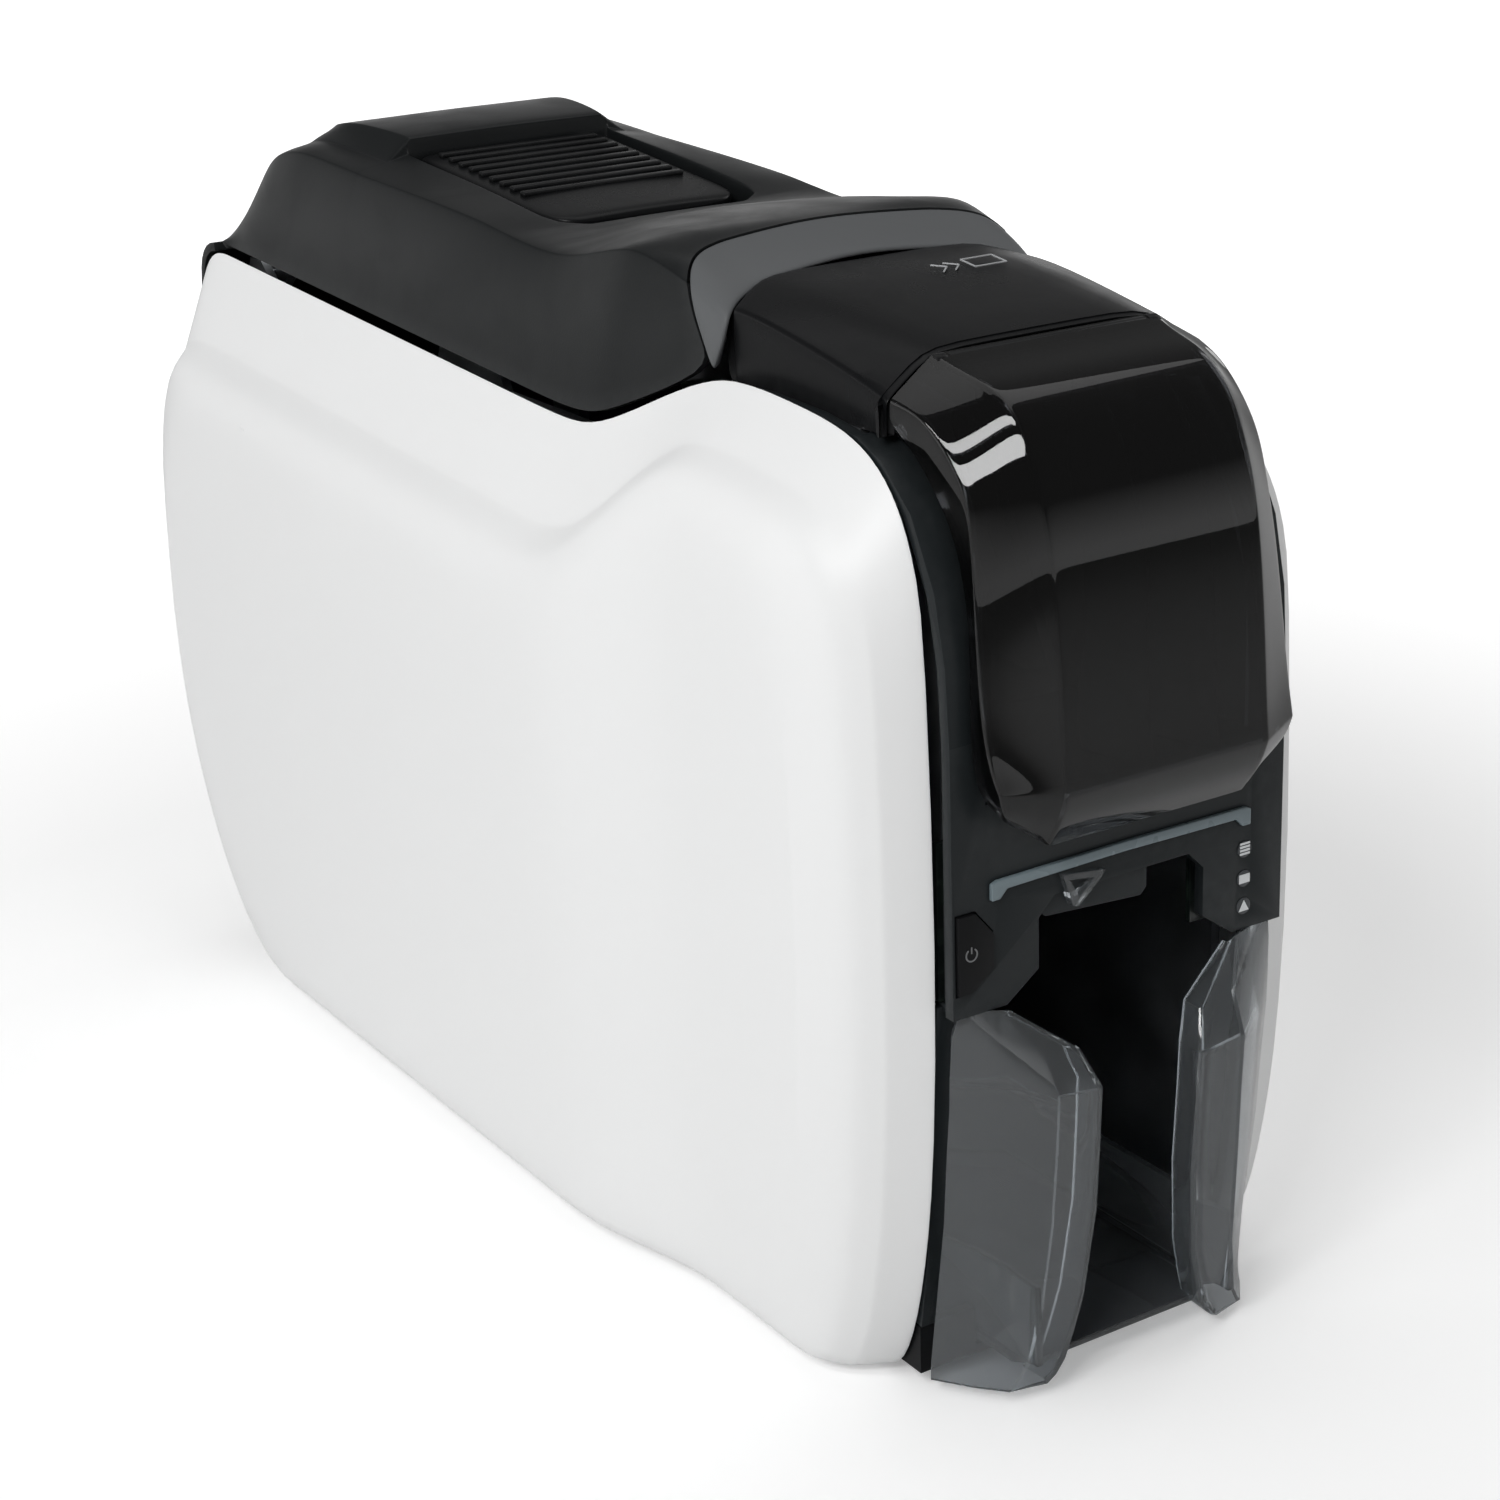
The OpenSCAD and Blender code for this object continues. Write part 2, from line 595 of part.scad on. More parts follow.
module front_bezel() {
  color("#4a5058") {
    difference() {
      union() {
        front_prism(bezel_y, bezel_y + bezel_t) polygon([[-bezel_out, cheek_z], [bezel_out, cheek_z],
          [bezel_out, 166], [-bezel_out, 166]]);
        side_strip(bezel_line, window_x, bezel_out, -bezel_t);
      }
      front_prism(bezel_y - 1, bezel_y + bezel_t + 1) mouth_outline();
      front_prism(bezel_y - 1, bezel_y + bezel_t + 1) polygon([[-window_x, window_z], [window_x, window_z],
        [window_x, 170], [-window_x, 170]]);
      front_prism(bezel_y - 1, bezel_y + bezel_t + 1) polygon(button_points(0.35));
      front_prism(bezel_y - 1, bezel_y + light_depth) polygon(light_points(0.05));
      for (z = icon_zs)
        translate([icon_x, bezel_y + 4, z]) rotate([90, 0, 0]) cylinder(r = icon_r + 0.05, h = 6);
    }
    side_strip(bezel_rear_line, 44.8, bezel_out, -2.5);
    side_strip(bezel_low_line, bay_x, bezel_out, -bezel_t);
    for (s = [-1, 1]) translate([s * 44.5 - 1.8, -183, cheek_z]) cube([3.6, 8, 2]);
  }
}
module light_bar() {
  color("#b9cfe0") front_prism(bezel_y - 0.9, bezel_y + light_depth) polygon(light_points(0));
}
flange_t = 1.2;
module power_button() {
  color("#3c4047") {
    front_prism(bezel_y - 0.8, bezel_y + bezel_t + 0.3) polygon(button_points(0));
    front_prism(bezel_y + bezel_t + 0.2, bezel_y + bezel_t + 0.2 + flange_t)
      translate([button_end_x - 0.4, button_z - 11.5]) square([button_x + 2.4 - button_end_x, 23]);
  }
}
module indicator_windows() {
  color("#d5dde4") for (z = icon_zs)
    translate([icon_x, bezel_y + 2.4, z]) rotate([90, 0, 0]) cylinder(r = icon_r, h = 2.6);
}
front_board_y = bezel_y + bezel_t + flange_t + button_travel + 1.1;
module front_board() {
  color("#2f6b46") difference() {
    translate([-47.2, front_board_y, 104]) cube([94.4, 1.5, 38]);
    translate([-25.5, front_board_y - 1, 103]) cube([51, 4, 24]);
  }
  color("#c9ccd0") translate([-44, front_board_y - 0.5, 113.5]) cube([6, 0.6, 6]);
  color("#c9ccd0") for (z = icon_zs) translate([icon_x - 1.5, front_board_y - 0.9, z - 1]) cube([3, 1, 2]);
  color("#2f6b46") for (s = [-1, 1])
    translate([s * 40, front_board_y + eps, 136]) rotate([90, 0, 0]) cylinder(r = 2, h = 3.3);
}

// ---- feeder roof ----
roof_rear_y = -95;
cover_axis_y = roof_front_y - bead_r - cover_gap;
cover_axis_z = roof_front_z - 0.3 - bead_r;
// One cross section of the roof: y at the middle, y at the sides, top height, side drop, inset
function roof_ring(y, ys, zt, drop, w) =
  let (xs = roof_x - w, xm = roof_flat_x - w * 0.3, t = zt - w, z0 = w > 0 ? roof_seat_z - 5 : roof_seat_z)
  [[-xs, ys, z0], [-xs, ys, t - drop - 0.8], [-xs + 1.4, ys, t - drop], [-xm, y, t], [xm, y, t],
    [xs - 1.4, ys, t - drop], [xs, ys, t - drop - 0.8], [xs, ys, z0]];
module loft(rings) {
  n = len(rings[0]);
  k = len(rings);
  points = [for (r = rings) each r];
  b = (k - 1) * n;
  skin = [for (f = skin_faces(k, n)) [f[3], f[2], f[1], f[0]]];
  caps = [for (j = [0:n / 2 - 2]) each [[n - 2 - j, n - 1 - j, j, j + 1],
    [b + n - 1 - j, b + n - 2 - j, b + j + 1, b + j]]];
  polyhedron(points, concat(skin, caps));
}
// How far the roof's front edge reaches over the bead of the cover
roof_lead = 1.4;
module feeder_roof() {
  color("#33363b") {
    difference() {
      loft([roof_ring(roof_front_y - roof_lead, roof_front_y - 3.6, roof_front_z, roof_side_drop, 0),
        roof_ring(-127, -127, 248.6, 5.6, 0), roof_ring(-108, -108, 251, 3.6, 0),
        roof_ring(roof_rear_y, roof_rear_y, roof_rear_z, 2.6, 0)]);
      // The front edge runs back towards the middle
      translate([0, 0, roof_seat_z - 1]) linear_extrude(30) let (y = roof_front_y - roof_lead)
        polygon([[-50, y - 3], [-roof_flat_x, y], [roof_flat_x, y], [50, y - 3], [50, y - 16], [-50, y - 16]]);
      // Room for the bead of the cover
      rod(-roof_x - 1, roof_x + 1, cover_axis_y, cover_axis_z, bead_r + cover_gap);
      loft([roof_ring(roof_front_y - 6, roof_front_y - 10, roof_front_z, roof_side_drop, roof_wall),
        roof_ring(-127, -127, 248.6, 5.6, roof_wall), roof_ring(-108, -108, 251, 3.6, roof_wall),
        roof_ring(roof_rear_y - roof_wall, roof_rear_y - roof_wall, roof_rear_z, 2.6, roof_wall)]);
    }
    // Shelf under the front edge of the lid
    translate([-41.5, roof_rear_y - 0.5, 241.5]) cube([83, 12, 2]);
    for (s = [-1, 1]) hinge_lug(s);
  }
}
lug_x = 28;
lug_t = 3;
module hinge_lug(s) {
  translate([s * (lug_x + lug_t / 2) - lug_t / 2, 0, 0]) difference() {
    union() {
      translate([0, cover_axis_y, cover_axis_z]) rotate([0, 90, 0]) cylinder(r = bead_r, h = lug_t);
      translate([0, cover_axis_y, cover_axis_z - bead_r]) cube([lug_t, 9, bead_r + 1]);
    }
    translate([-1, cover_axis_y, cover_axis_z]) rotate([0, 90, 0]) cylinder(r = cover_pin_r, h = lug_t + 2);
  }
}

// ---- smoke cover ----
// Stations down the cover: middle y, z, half width of the flat; side x, y, z; back edge y, z
cover_rows = [
  [cover_axis_y + 0.6, cover_axis_z + bead_r - 0.05, roof_flat_x + 0.6, roof_x - 0.1,
    -157.3, 237.3, -156.8, 232.2],
  [-164.5, 242.6, 29.4, cover_x - 0.4, -164.8, 235.6, -161.2, 228.4],
  [-172, 241.3, 28.9, cover_x - 0.9, -170.6, 231.8, -166.4, 223.4],
  [-178.7, 238.6, cover_flat_x, cover_x - 1.3, -176.2, 226.4, -171.8, 217],
  [-183.6, 234.2, cover_flat_x, cover_x - 1.5, -180.2, 220.8, -175.6, 211],
  [-187.4, 228.4, cover_flat_x, cover_x - 1.3, -182.2, 214.4, -178.4, 205.4],
  [-191.6, 218.6, cover_flat_x, cover_x - 0.7, -183.8, 205.6, -180.8, 199],
  [-194.2, 208.6, cover_flat_x, cover_x - 0.2, -185, 198.2, -182.6, 193.6],
  [-196, 196.4, cover_flat_x, cover_x + 0.2, -186.2, 189.6, -183.6, 186.4],
  [-197.6, 179.6, cover_flat_x, cover_x + 0.6, -187.8, 177, -183.8, 176],
  [-198.6, 163.6, cover_flat_x, cover_x + 0.4, -190, 164.6, -183.8, 165],
  [front_y, cover_lip_z + 14, cover_flat_x, cover_x - 0.6, -193, cover_lip_z + 15.2,
    -184.4, cover_lip_z + 15.6],
  [-196.6, cover_lip_z + 6.6, cover_flat_x - 0.2, cover_x - 1.8, -192, cover_lip_z + 10.6,
    -186.2, cover_lip_z + 11.4],
  [-191.8, cover_lip_z, cover_flat_x - 0.8, cover_x - 3.4, -190.6, cover_lip_z + 8,
    -187.6, cover_lip_z + 9.2]];
// Inward normal of the middle line and of the side line at station i
function row_dir(i, a, b) =
  let (p = cover_rows[max(i - 1, 0)], q = cover_rows[min(i + 1, len(cover_rows) - 1)],
    d = [q[a] - p[a], q[b] - p[b]])
  i == 0 ? [-1, 0] : d / norm(d);
function cover_ring(i, w) = let (r = cover_rows[i], m = row_dir(i, 0, 1), s = row_dir(i, 4, 5),
  my = r[0] - m[1] * w, mz = r[1] + m[0] * w, sy = r[4] - s[1] * w * 0.9, sz = r[5] + s[0] * w * 0.9)
  [[-r[3] + w, r[6], r[7]], [-r[3] + w, sy, sz], [-r[2] + w * 0.35, my, mz], [r[2] - w * 0.35, my, mz],
    [r[3] - w, sy, sz], [r[3] - w, r[6], r[7]]];
module cover_shell() {
  k = len(cover_rows);
  outer = [for (i = [0:k - 1]) each cover_ring(i, 0)];
  inner = [for (i = [0:k - 1]) each cover_ring(i, cover_wall)];
  o = 6 * k;
  skin = [for (i = [0:k - 2]) for (j = [0:4]) let (a = i * 6 + j) [a, a + 1, a + 7, a + 6]];
  back = [for (f = skin) [f[3] + o, f[2] + o, f[1] + o, f[0] + o]];
  sides = [for (i = [0:k - 2]) let (a = i * 6) each [[a + 6, a + 6 + o, a + o, a],
    [a + 5, a + 5 + o, a + 11 + o, a + 11]]];
  e = 6 * (k - 1);
  ends = [for (j = [0:4]) each [[j + o, j + 1 + o, j + 1, j], [e + j, e + j + 1, e + j + 1 + o, e + j + o]]];
  polyhedron(concat(outer, inner), concat(skin, back, sides, ends));
}
module input_cover() {
  color("#4b4f55", 0.6) difference() {
    union() {
      cover_shell();
      translate([-lug_x + 0.6, cover_axis_y, cover_axis_z]) rotate([0, 90, 0])
        cylinder(r = bead_r, h = 2 * lug_x - 1.2);
    }
    for (s = [-1, 1]) {
      translate([s * (lug_x + lug_t / 2) - lug_t / 2 - 0.5, cover_axis_y, cover_axis_z]) rotate([0, 90, 0])
        cylinder(r = bead_r + cover_gap, h = lug_t + 1);
      translate([s * (lug_x - 2) - 4, cover_axis_y, cover_axis_z]) rotate([0, 90, 0])
        cylinder(r = cover_pin_r + shaft_clear, h = 8);
    }
  }
}
module input_cover_pins() {
  color("#b8bcc0") for (s = [-1, 1])
    translate([s * (lug_x - 0.3) - 3.3, cover_axis_y, cover_axis_z]) rotate([0, 90, 0])
      cylinder(r = cover_pin_r, h = 6.6);
}

// ---- card feeder ----
guide_x = 27.8;
guide_t = 2;
// Wall behind the stack of cards
gate_y = -93;
weight_y = -99;
weight_z = 212;
weight_pin_r = 2;
weight_foot_y = -131;
weight_foot_z = card_z + 3.6;
weight_foot_r = 3.2;
module input_tray() {
  color("#2b2e33") {
    difference() {
      translate([-chassis_x, gate_y - card_l - 1.2, axle_z + 3.4])
        cube([2 * chassis_x, card_l + 10.4, deck_t]);
      translate([-14, pick_y - 8, axle_z]) cube([28, 16, 10]);
    }
    for (s = [-1, 1]) {
      translate([s * (guide_x + guide_t / 2) - guide_t / 2, 0, 0]) rotate([90, 0, 90]) linear_extrude(guide_t)
        polygon([[-174, card_z - 1], [-91, card_z - 1], [-91, 219], [-152, 219], [-165, 208], [-174, 190]]);
      // Stub that the card weight swings on
      translate([s * (guide_x - 4.5) - 5, weight_y, weight_z]) rotate([0, 90, 0])
        cylinder(r = weight_pin_r, h = 10);
    }
    // Gate behind the stack with a slit for one card
    translate([-guide_x - 1, gate_y, card_z + card_gap]) cube([2 * guide_x + 2, 2, 50]);
  }
}
module card_weight() {
  color("#55595f") difference() {
    union() {
      for (s = [-1, 1]) translate([s * 20 - 1.5, 0, 0]) rotate([90, 0, 90]) linear_extrude(3) hull() {
        translate([weight_y, weight_z]) circle(r = 5);
        translate([weight_foot_y, weight_foot_z]) circle(r = weight_foot_r - 0.2);
      }
      translate([-21.5, weight_foot_y, weight_foot_z]) rotate([0, 90, 0]) cylinder(r = weight_foot_r, h = 43);
      translate([-21.5, weight_y + 0.6, weight_z - 10]) rotate([-28.7, 0, 0])
        translate([0, -1.5, -26]) cube([43, 3, 22]);
    }
    translate([-30, weight_y, weight_z]) rotate([0, 90, 0]) cylinder(r = weight_pin_r + shaft_clear, h = 60);
  }
}

// ---- rollers ----
module rod(x0, x1, y, z, r) {
  translate([x0, y, z]) rotate([0, 90, 0]) cylinder(r = r, h = x1 - x0);
}
module tube(x0, x1, y, z, r, ri) {
  difference() {
    rod(x0, x1, y, z, r);
    rod(x0 - 1, x1 + 1, y, z, ri);
  }
}
shaft_end_x = wall_out + 1.2;
pulley_x0 = 46.4;
pulley_x1 = pulley_x0 + belt_w + 1.6;
gear_x0 = pulley_x1 + 0.8;
gear_x1 = gear_x0 + gear_w;
module roller(y, l) {
  tube(-l / 2, l / 2, y, axle_z, roller_r, shaft_r);
}
module shaft(y, left_x) {
  rod(-left_x, shaft_end_x, y, axle_z, shaft_r);
}
pulley_grooves = 16;
module pulley_wheel(y) {
  translate([-pulley_x1, y, axle_z]) rotate([0, 90, 0]) difference() {
    union() {
      cylinder(r = pulley_r + 1.4, h = 0.7);
      cylinder(r = pulley_r, h = pulley_x1 - pulley_x0);
      translate([0, 0, pulley_x1 - pulley_x0 - 0.7]) cylinder(r = pulley_r + 1.4, h = 0.7);
    }
    translate([0, 0, -1]) cylinder(r = shaft_r, h = 20);
    for (i = [0:pulley_grooves - 1]) rotate([0, 0, 360 * i / pulley_grooves])
      translate([pulley_r - 0.5, -0.6, 0.7]) cube([1, 1.2, belt_w + 0.2]);
  }
}
module pick_roller() {
  color("#303236") tube(-12, 12, pick_y, axle_z, roller_r, shaft_r);
}
module pick_shaft() {
  color("#b8bcc0") shaft(pick_y, pulley_x1);
}
module pick_pulley() {
  color("#e5e5e0") pulley_wheel(pick_y);
}
module front_drive_roller() {
  color("#303236") roller(front_drive_y, roller_l);
}
module front_drive_shaft() {
  color("#b8bcc0") shaft(front_drive_y, pulley_x1);
}
module front_drive_pulley() {
  color("#e5e5e0") pulley_wheel(front_drive_y);
}
module platen_roller() {
  color("#303236") roller(platen_y, roller_l);
}
module platen_shaft() {
  color("#b8bcc0") shaft(platen_y, gear_x1);
}
module rear_drive_roller() {
  color("#303236") roller(rear_drive_y, roller_l);
}
module rear_drive_shaft() {
  color("#b8bcc0") shaft(rear_drive_y, pulley_x1);
}
module rear_drive_pulley() {
  color("#e5e5e0") pulley_wheel(rear_drive_y);
}
module cleaning_roller() {
  color("#b9446a") rod(-27, 27, clean_y, clean_z, clean_r);
  color("#b9446a") rod(-shaft_end_x, shaft_end_x, clean_y, clean_z, pinch_shaft_r);
}
module pinch_roller(y) {
  rod(-roller_l / 2, roller_l / 2, y, pinch_z, pinch_r);
  rod(-shaft_end_x, shaft_end_x, y, pinch_z, pinch_shaft_r);
}
module front_pinch_roller() {
  color("#c8ccd0") pinch_roller(front_drive_y);
}
module rear_pinch_roller() {
  color("#c8ccd0") pinch_roller(rear_drive_y);
}
module timing_belt() {
  inner = pulley_r + 0.3;
  x = 0.9 - pulley_x1;
  color("#1f2022") translate([x, 0, 0]) rotate([90, 0, 90]) linear_extrude(belt_w - 0.2) difference() {
    union() {
      translate([pick_y, axle_z]) circle(r = inner + belt_t);
      translate([rear_drive_y, axle_z]) circle(r = inner + belt_t);
      translate([pick_y, axle_z - inner - belt_t]) square([rear_drive_y - pick_y, 2 * (inner + belt_t)]);
    }
    translate([pick_y, axle_z]) circle(r = inner);
    translate([rear_drive_y, axle_z]) circle(r = inner);
    translate([pick_y, axle_z - inner]) square([rear_drive_y - pick_y, 2 * inner]);
  }
}

// ---- gears ----
// Involute tooth flank: polar angle at radius r for base radius rb
function inv_angle(r, rb) = let (a = acos(min(rb / r, 1))) tan(a) * 180 / PI - a;
pressure = 20;
module gear_outline(teeth, play) {
  rp = gear_m * teeth / 2;
  rb = rp * cos(pressure);
  ra = rp + gear_m;
  rf = rp - 1.25 * gear_m;
  half = 90 / teeth - play / 2 / rp * 90 / PI + inv_angle(rp, rb);
  rs = [for (i = [0:3]) mix(max(rb, rf), ra, i / 3)];
  polygon([for (t = [0:teeth - 1]) let (a = 360 * t / teeth) each concat(
    [[rf * cos(a - half), rf * sin(a - half)]],
    [for (r = rs) let (b = a - half + inv_angle(r, rb)) [r * cos(b), r * sin(b)]],
    [for (i = [3:-1:0]) let (r = rs[i], b = a + half - inv_angle(r, rb)) [r * cos(b), r * sin(b)]],
    [[rf * cos(a + half), rf * sin(a + half)]])]);
}
// Angle of the line from the platen shaft to the motor shaft
mesh_angle = atan2(motor_z - axle_z, motor_y - platen_y);
module platen_gear() {
  color("#e5e5e0") pulley_wheel(platen_y);
  color("#e5e5e0") tube(-gear_x0 - eps, -pulley_x1 + eps, platen_y, axle_z, 5, shaft_r);
  color("#e5e5e0") translate([-gear_x1, platen_y, axle_z]) rotate([90, 0, 90]) difference() {
    linear_extrude(gear_w) rotate(mesh_angle) gear_outline(gear_teeth, gear_backlash);
    translate([0, 0, -1]) cylinder(r = shaft_r, h = gear_w + 2);
    for (a = [0:60:300]) rotate([0, 0, a]) translate([11, 0, -1]) cylinder(r = 3, h = gear_w + 2);
  }
}
module motor_pinion() {
  color("#c7a24a") translate([-gear_x1, motor_y, motor_z]) rotate([90, 0, 90])
    linear_extrude(gear_w) rotate(mesh_angle + 180 + 180 / pinion_teeth)
      gear_outline(pinion_teeth, gear_backlash);
  color("#b8bcc0") rod(-gear_x0 - eps, -chassis_x + 4, motor_y, motor_z, motor_shaft_r);
}
module stepper_motor() {
  s = motor_side / 2;
  c = 4;
  color("#6d7278") difference() {
    translate([-chassis_x, motor_y, motor_z]) rotate([90, 0, 90]) linear_extrude(motor_l)
      polygon([[-s + c, -s], [s - c, -s], [s, -s + c], [s, s - c], [s - c, s], [-s + c, s], [-s, s - c],
        [-s, -s + c]]);
    rod(-chassis_x - 1, -chassis_x + 5, motor_y, motor_z, motor_shaft_r + shaft_clear);
  }
  color("#c8ccd0")
    tube(-wall_out - 0.5, -chassis_x + eps, motor_y, motor_z, motor_boss_r, motor_shaft_r + shaft_clear);
}

// ---- card path behind and below ----
module card_deck() {
  color("#33363b") difference() {
    translate([-chassis_x, -40, axle_z + 3.4]) cube([2 * chassis_x, 205, deck_t]);
    for (y = [platen_y, rear_drive_y])
      translate([-roller_l / 2 - 1, y - 8, axle_z]) cube([roller_l + 2, 16, 10]);
    translate([-roller_l / 2 - 1, front_drive_y - 8, axle_z]) cube([roller_l + 2, 16.5, 10]);
  }
  color("#33363b") for (s = [-1, 1])
    translate([s * (card_w / 2 + 1.4) - 1, 100, axle_z + 6.3]) cube([2, 60, 2.4]);
}
module card_sensors() {
  color("#202225") for (y = [-30, 110]) difference() {
    translate([-6, y - 4, axle_z + 3.4 - 5]) cube([12, 8, 5]);
    translate([0, y, axle_z - 3]) cylinder(r = 1.5, h = 2);
  }
}
flap_x = 29;
module card_diverter() {
  color("#55595f") {
    rod(-shaft_end_x, shaft_end_x, flap_y, flap_z, flap_pin_r);
    translate([-flap_x, 0, 0]) rotate([90, 0, 90]) linear_extrude(2 * flap_x)
      polygon([[flap_y - 2.6, flap_z - 1.6], [flap_y + 2, flap_z - 2.4], [flap_y + 10.4, flap_z + 4.2],
        [flap_y + 10.4, flap_z + 4.8], [flap_y - 1, flap_z + 4.8], [flap_y - 2.6, flap_z + 2]]);
  }
}
chute_rear_y = -50;
chute_rear_z = 132;
chute_front_y = -92;
chute_front_z = 108.8;
chute_t = 2.4;
module output_chute() {
  color("#2b2e33") {
    translate([-chassis_x, 0, 0]) rotate([90, 0, 90]) linear_extrude(2 * chassis_x)
      polygon([[chute_rear_y, chute_rear_z], [chute_rear_y, chute_rear_z - chute_t],
        [chute_front_y, chute_front_z - chute_t], [chute_front_y, chute_front_z]]);
    for (s = [-1, 1]) translate([s * 29.5 - 1, 0, 0]) rotate([90, 0, 90]) linear_extrude(2)
      polygon([[chute_rear_y, chute_rear_z - 1], [chute_rear_y, chute_rear_z + 6],
        [chute_front_y, chute_front_z + 9.2], [chute_front_y, chute_front_z - 0.8]]);
  }
}

// ---- ribbon ----
core_l = 66;
module film(y, z, r) {
  tube(-film_w / 2, film_w / 2, y, z, r, core_r);
}
module spool(y, z) {
  rod(-core_l / 2, core_l / 2, y, z, core_r);
  for (s = [-1, 1]) translate([s * (core_l / 2 + 0.75) - 0.75, 0, 0]) rod(0, 1.5, y, z, core_r + 2);
  rod(-wall_out - 1.2, wall_out - 0.2, y, z, 4);
}
module ribbon_supply_core() {
  color("#e5e5e0") spool(supply_y, supply_z);
}
module ribbon_supply_film() {
  color("#5a2b6b") film(supply_y, supply_z, supply_r);
}
module ribbon_takeup_core() {
  color("#e5e5e0") difference() {
    spool(takeup_y, takeup_z);
    rod(wall_out - 8, wall_out + 5, takeup_y, takeup_z, 1.6);
  }
}
module ribbon_takeup_film() {
  color("#3a2b4b") film(takeup_y, takeup_z, takeup_r);
}
web_z = card_z + card_gap + 0.3;
// Where a line from point q touches a roll of radius r on the side given by s
function tangent(q, c, r, s) = let (d = c - q, l = norm(d), a = s * asin(r / l), m = sqrt(l * l - r * r) / l)
  q + m * [d[0] * cos(a) - d[1] * sin(a), d[1] * cos(a) + d[0] * sin(a)];
web_gap = 0.35;
module ribbon_web() {
  a = [platen_y - 14.5, web_z];
  b = [platen_y + 14.5, web_z];
  color("#6b2b5a") translate([-film_w / 2, 0, 0]) rotate([90, 0, 90]) linear_extrude(film_w)
    strip_profile([tangent(a, [takeup_y, takeup_z], takeup_r + web_gap, -1), a, b,
      tangent(b, [supply_y, supply_z], supply_r + web_gap, 1)], web_t);
}
module ribbon_motor() {
  color("#6d7278") {
    rod(wall_out, wall_out + 1.6, takeup_y, takeup_z, 13);
    rod(wall_out + 1.5, wall_out + 16.5, takeup_y, takeup_z, 10);
  }
}

// ---- lid ----
lid_front_ring = [[47.3, -81, 231], [47.35, -81.6, 238], [47.2, -82, 246], [46.3, -80, 251.5],
  [43, -76.2, 255.6], [37.4, -71.9, 257], [32, -70, 257.5], [30, -69.4, 257.8],
  [16, -67.4, 258.6], [5, -66.5, 259]];
lid_band_low = [[46, -94, 233.6], [45.9, -95.4, 238], [45.6, -96, 242], [44.6, -95.2, 245.8],
  [41.6, -93, 248.2], [36.6, -90.4, 249.8], [31, -88.6, 251], [29, -88.2, 251.4], [15.5, -86.4, 252.8],
  [5, lid_front_y, 253.5]];
// Stations: y, crease z, shoulder z, edge x, edge z, inner x, inner z, middle z, inset y, edge inset x
// Front edge of the well under the release pad
lip_y = 4.6;
lid_rows = [
  [-62, 256.9, 258.4, 32, 258.9, 30, 259, 259.1, 0, 0],
  [-52, 255.6, 257.4, 32, 258.1, 30, 258.3, 258.7, 0, 0],
  [-42, 253.4, 255.6, 32, 256.9, 30, 257.2, 258.1, 0, 0],
  [-31, 250.9, 253.4, 32, 255.2, 30, 255.8, 257, 0, 0],
  [-22, 249.8, 251.8, 32, 253.4, 29, 254.2, 255.8, 0, 0],
  [-12, 249.8, 250.9, 31, 251.8, 26, 252.2, 253.4, 0, 0],
  [-2, 250.5, 251, 28, 251.1, 24, 251.1, 251.5, 0, 0],
  [lip_y, 251.2, 251.3, 24.6, 250.9, 23.4, 250.7, 250.9, -2.4, 2],
  [lip_y + 0.8, 251.3, 251.4, 25.2, 250.9, 24.6, well_z, well_z, -2.4, 2.4],
  [9, 251.6, 251.8, 29.8, 251.5, 28.8, well_z, well_z, -1.5, 2.4],
  [15, 252.3, 252.6, 31.9, 252.3, 30.9, well_z, well_z, 0, 2.4],
  [24, 253.1, 253.7, 32, 253.5, well_x, well_z, well_z, 0, 2.4],
  [50, 254.5, 255.7, 32, 256.3, well_x, well_z, well_z, 0, 2.4],
  [78, 255.6, 257.3, 32, 258.5, well_x, well_z, well_z, 0, 2.4],
  [bar_front_y - 0.6, 256.1, 258, 32, 259.6, well_x, well_z, well_z, 3, 2.4],
  [bar_front_y, 256.2, 258.1, 32.5, 262, well_x - 0.4, 264, 264.5, 3, -2],
  [104, 257, 258.8, bar_x - 1.6, 263.2, bar_x - 3.6, 265.2, 265.5, 0, -2],
  [bar_rear_y, 257.9, 259.5, bar_x + 0.4, 263.8, bar_x - 1.6, 265.7, body_h, 0, -2],
  [132, 257.8, 259.6, bar_x + 0.2, 262.4, bar_x - 2, 263.8, 264, 0, -2],
  [141, 256.2, 258.2, bar_x, 259.4, bar_x - 2, 259.9, 260, -1.2, -1],
  [148, 253.9, 255.4, bar_x, 255.6, bar_x - 2, 255.7, 255.8, -2.6, 0],
  [156, 248, 248.9, bar_x, 249.1, bar_x - 2, 249.2, 249.2, -3.2, 0],
  [164, 238.6, 239.3, bar_x, 239.5, bar_x - 2, 239.6, 239.6, -3.2, 0],
  [170, 231.4, 231.9, bar_x, 232, bar_x - 2, 232.1, 232.1, -3.2, 0],
  [lid_rear_y, 228.6, 229, bar_x, 229.1, bar_x - 2, 229.1, 229.1, -3.2, 0]];
lid_crease_x = 48;
function lid_low_z(y) = rim_top(y) + lid_seam;
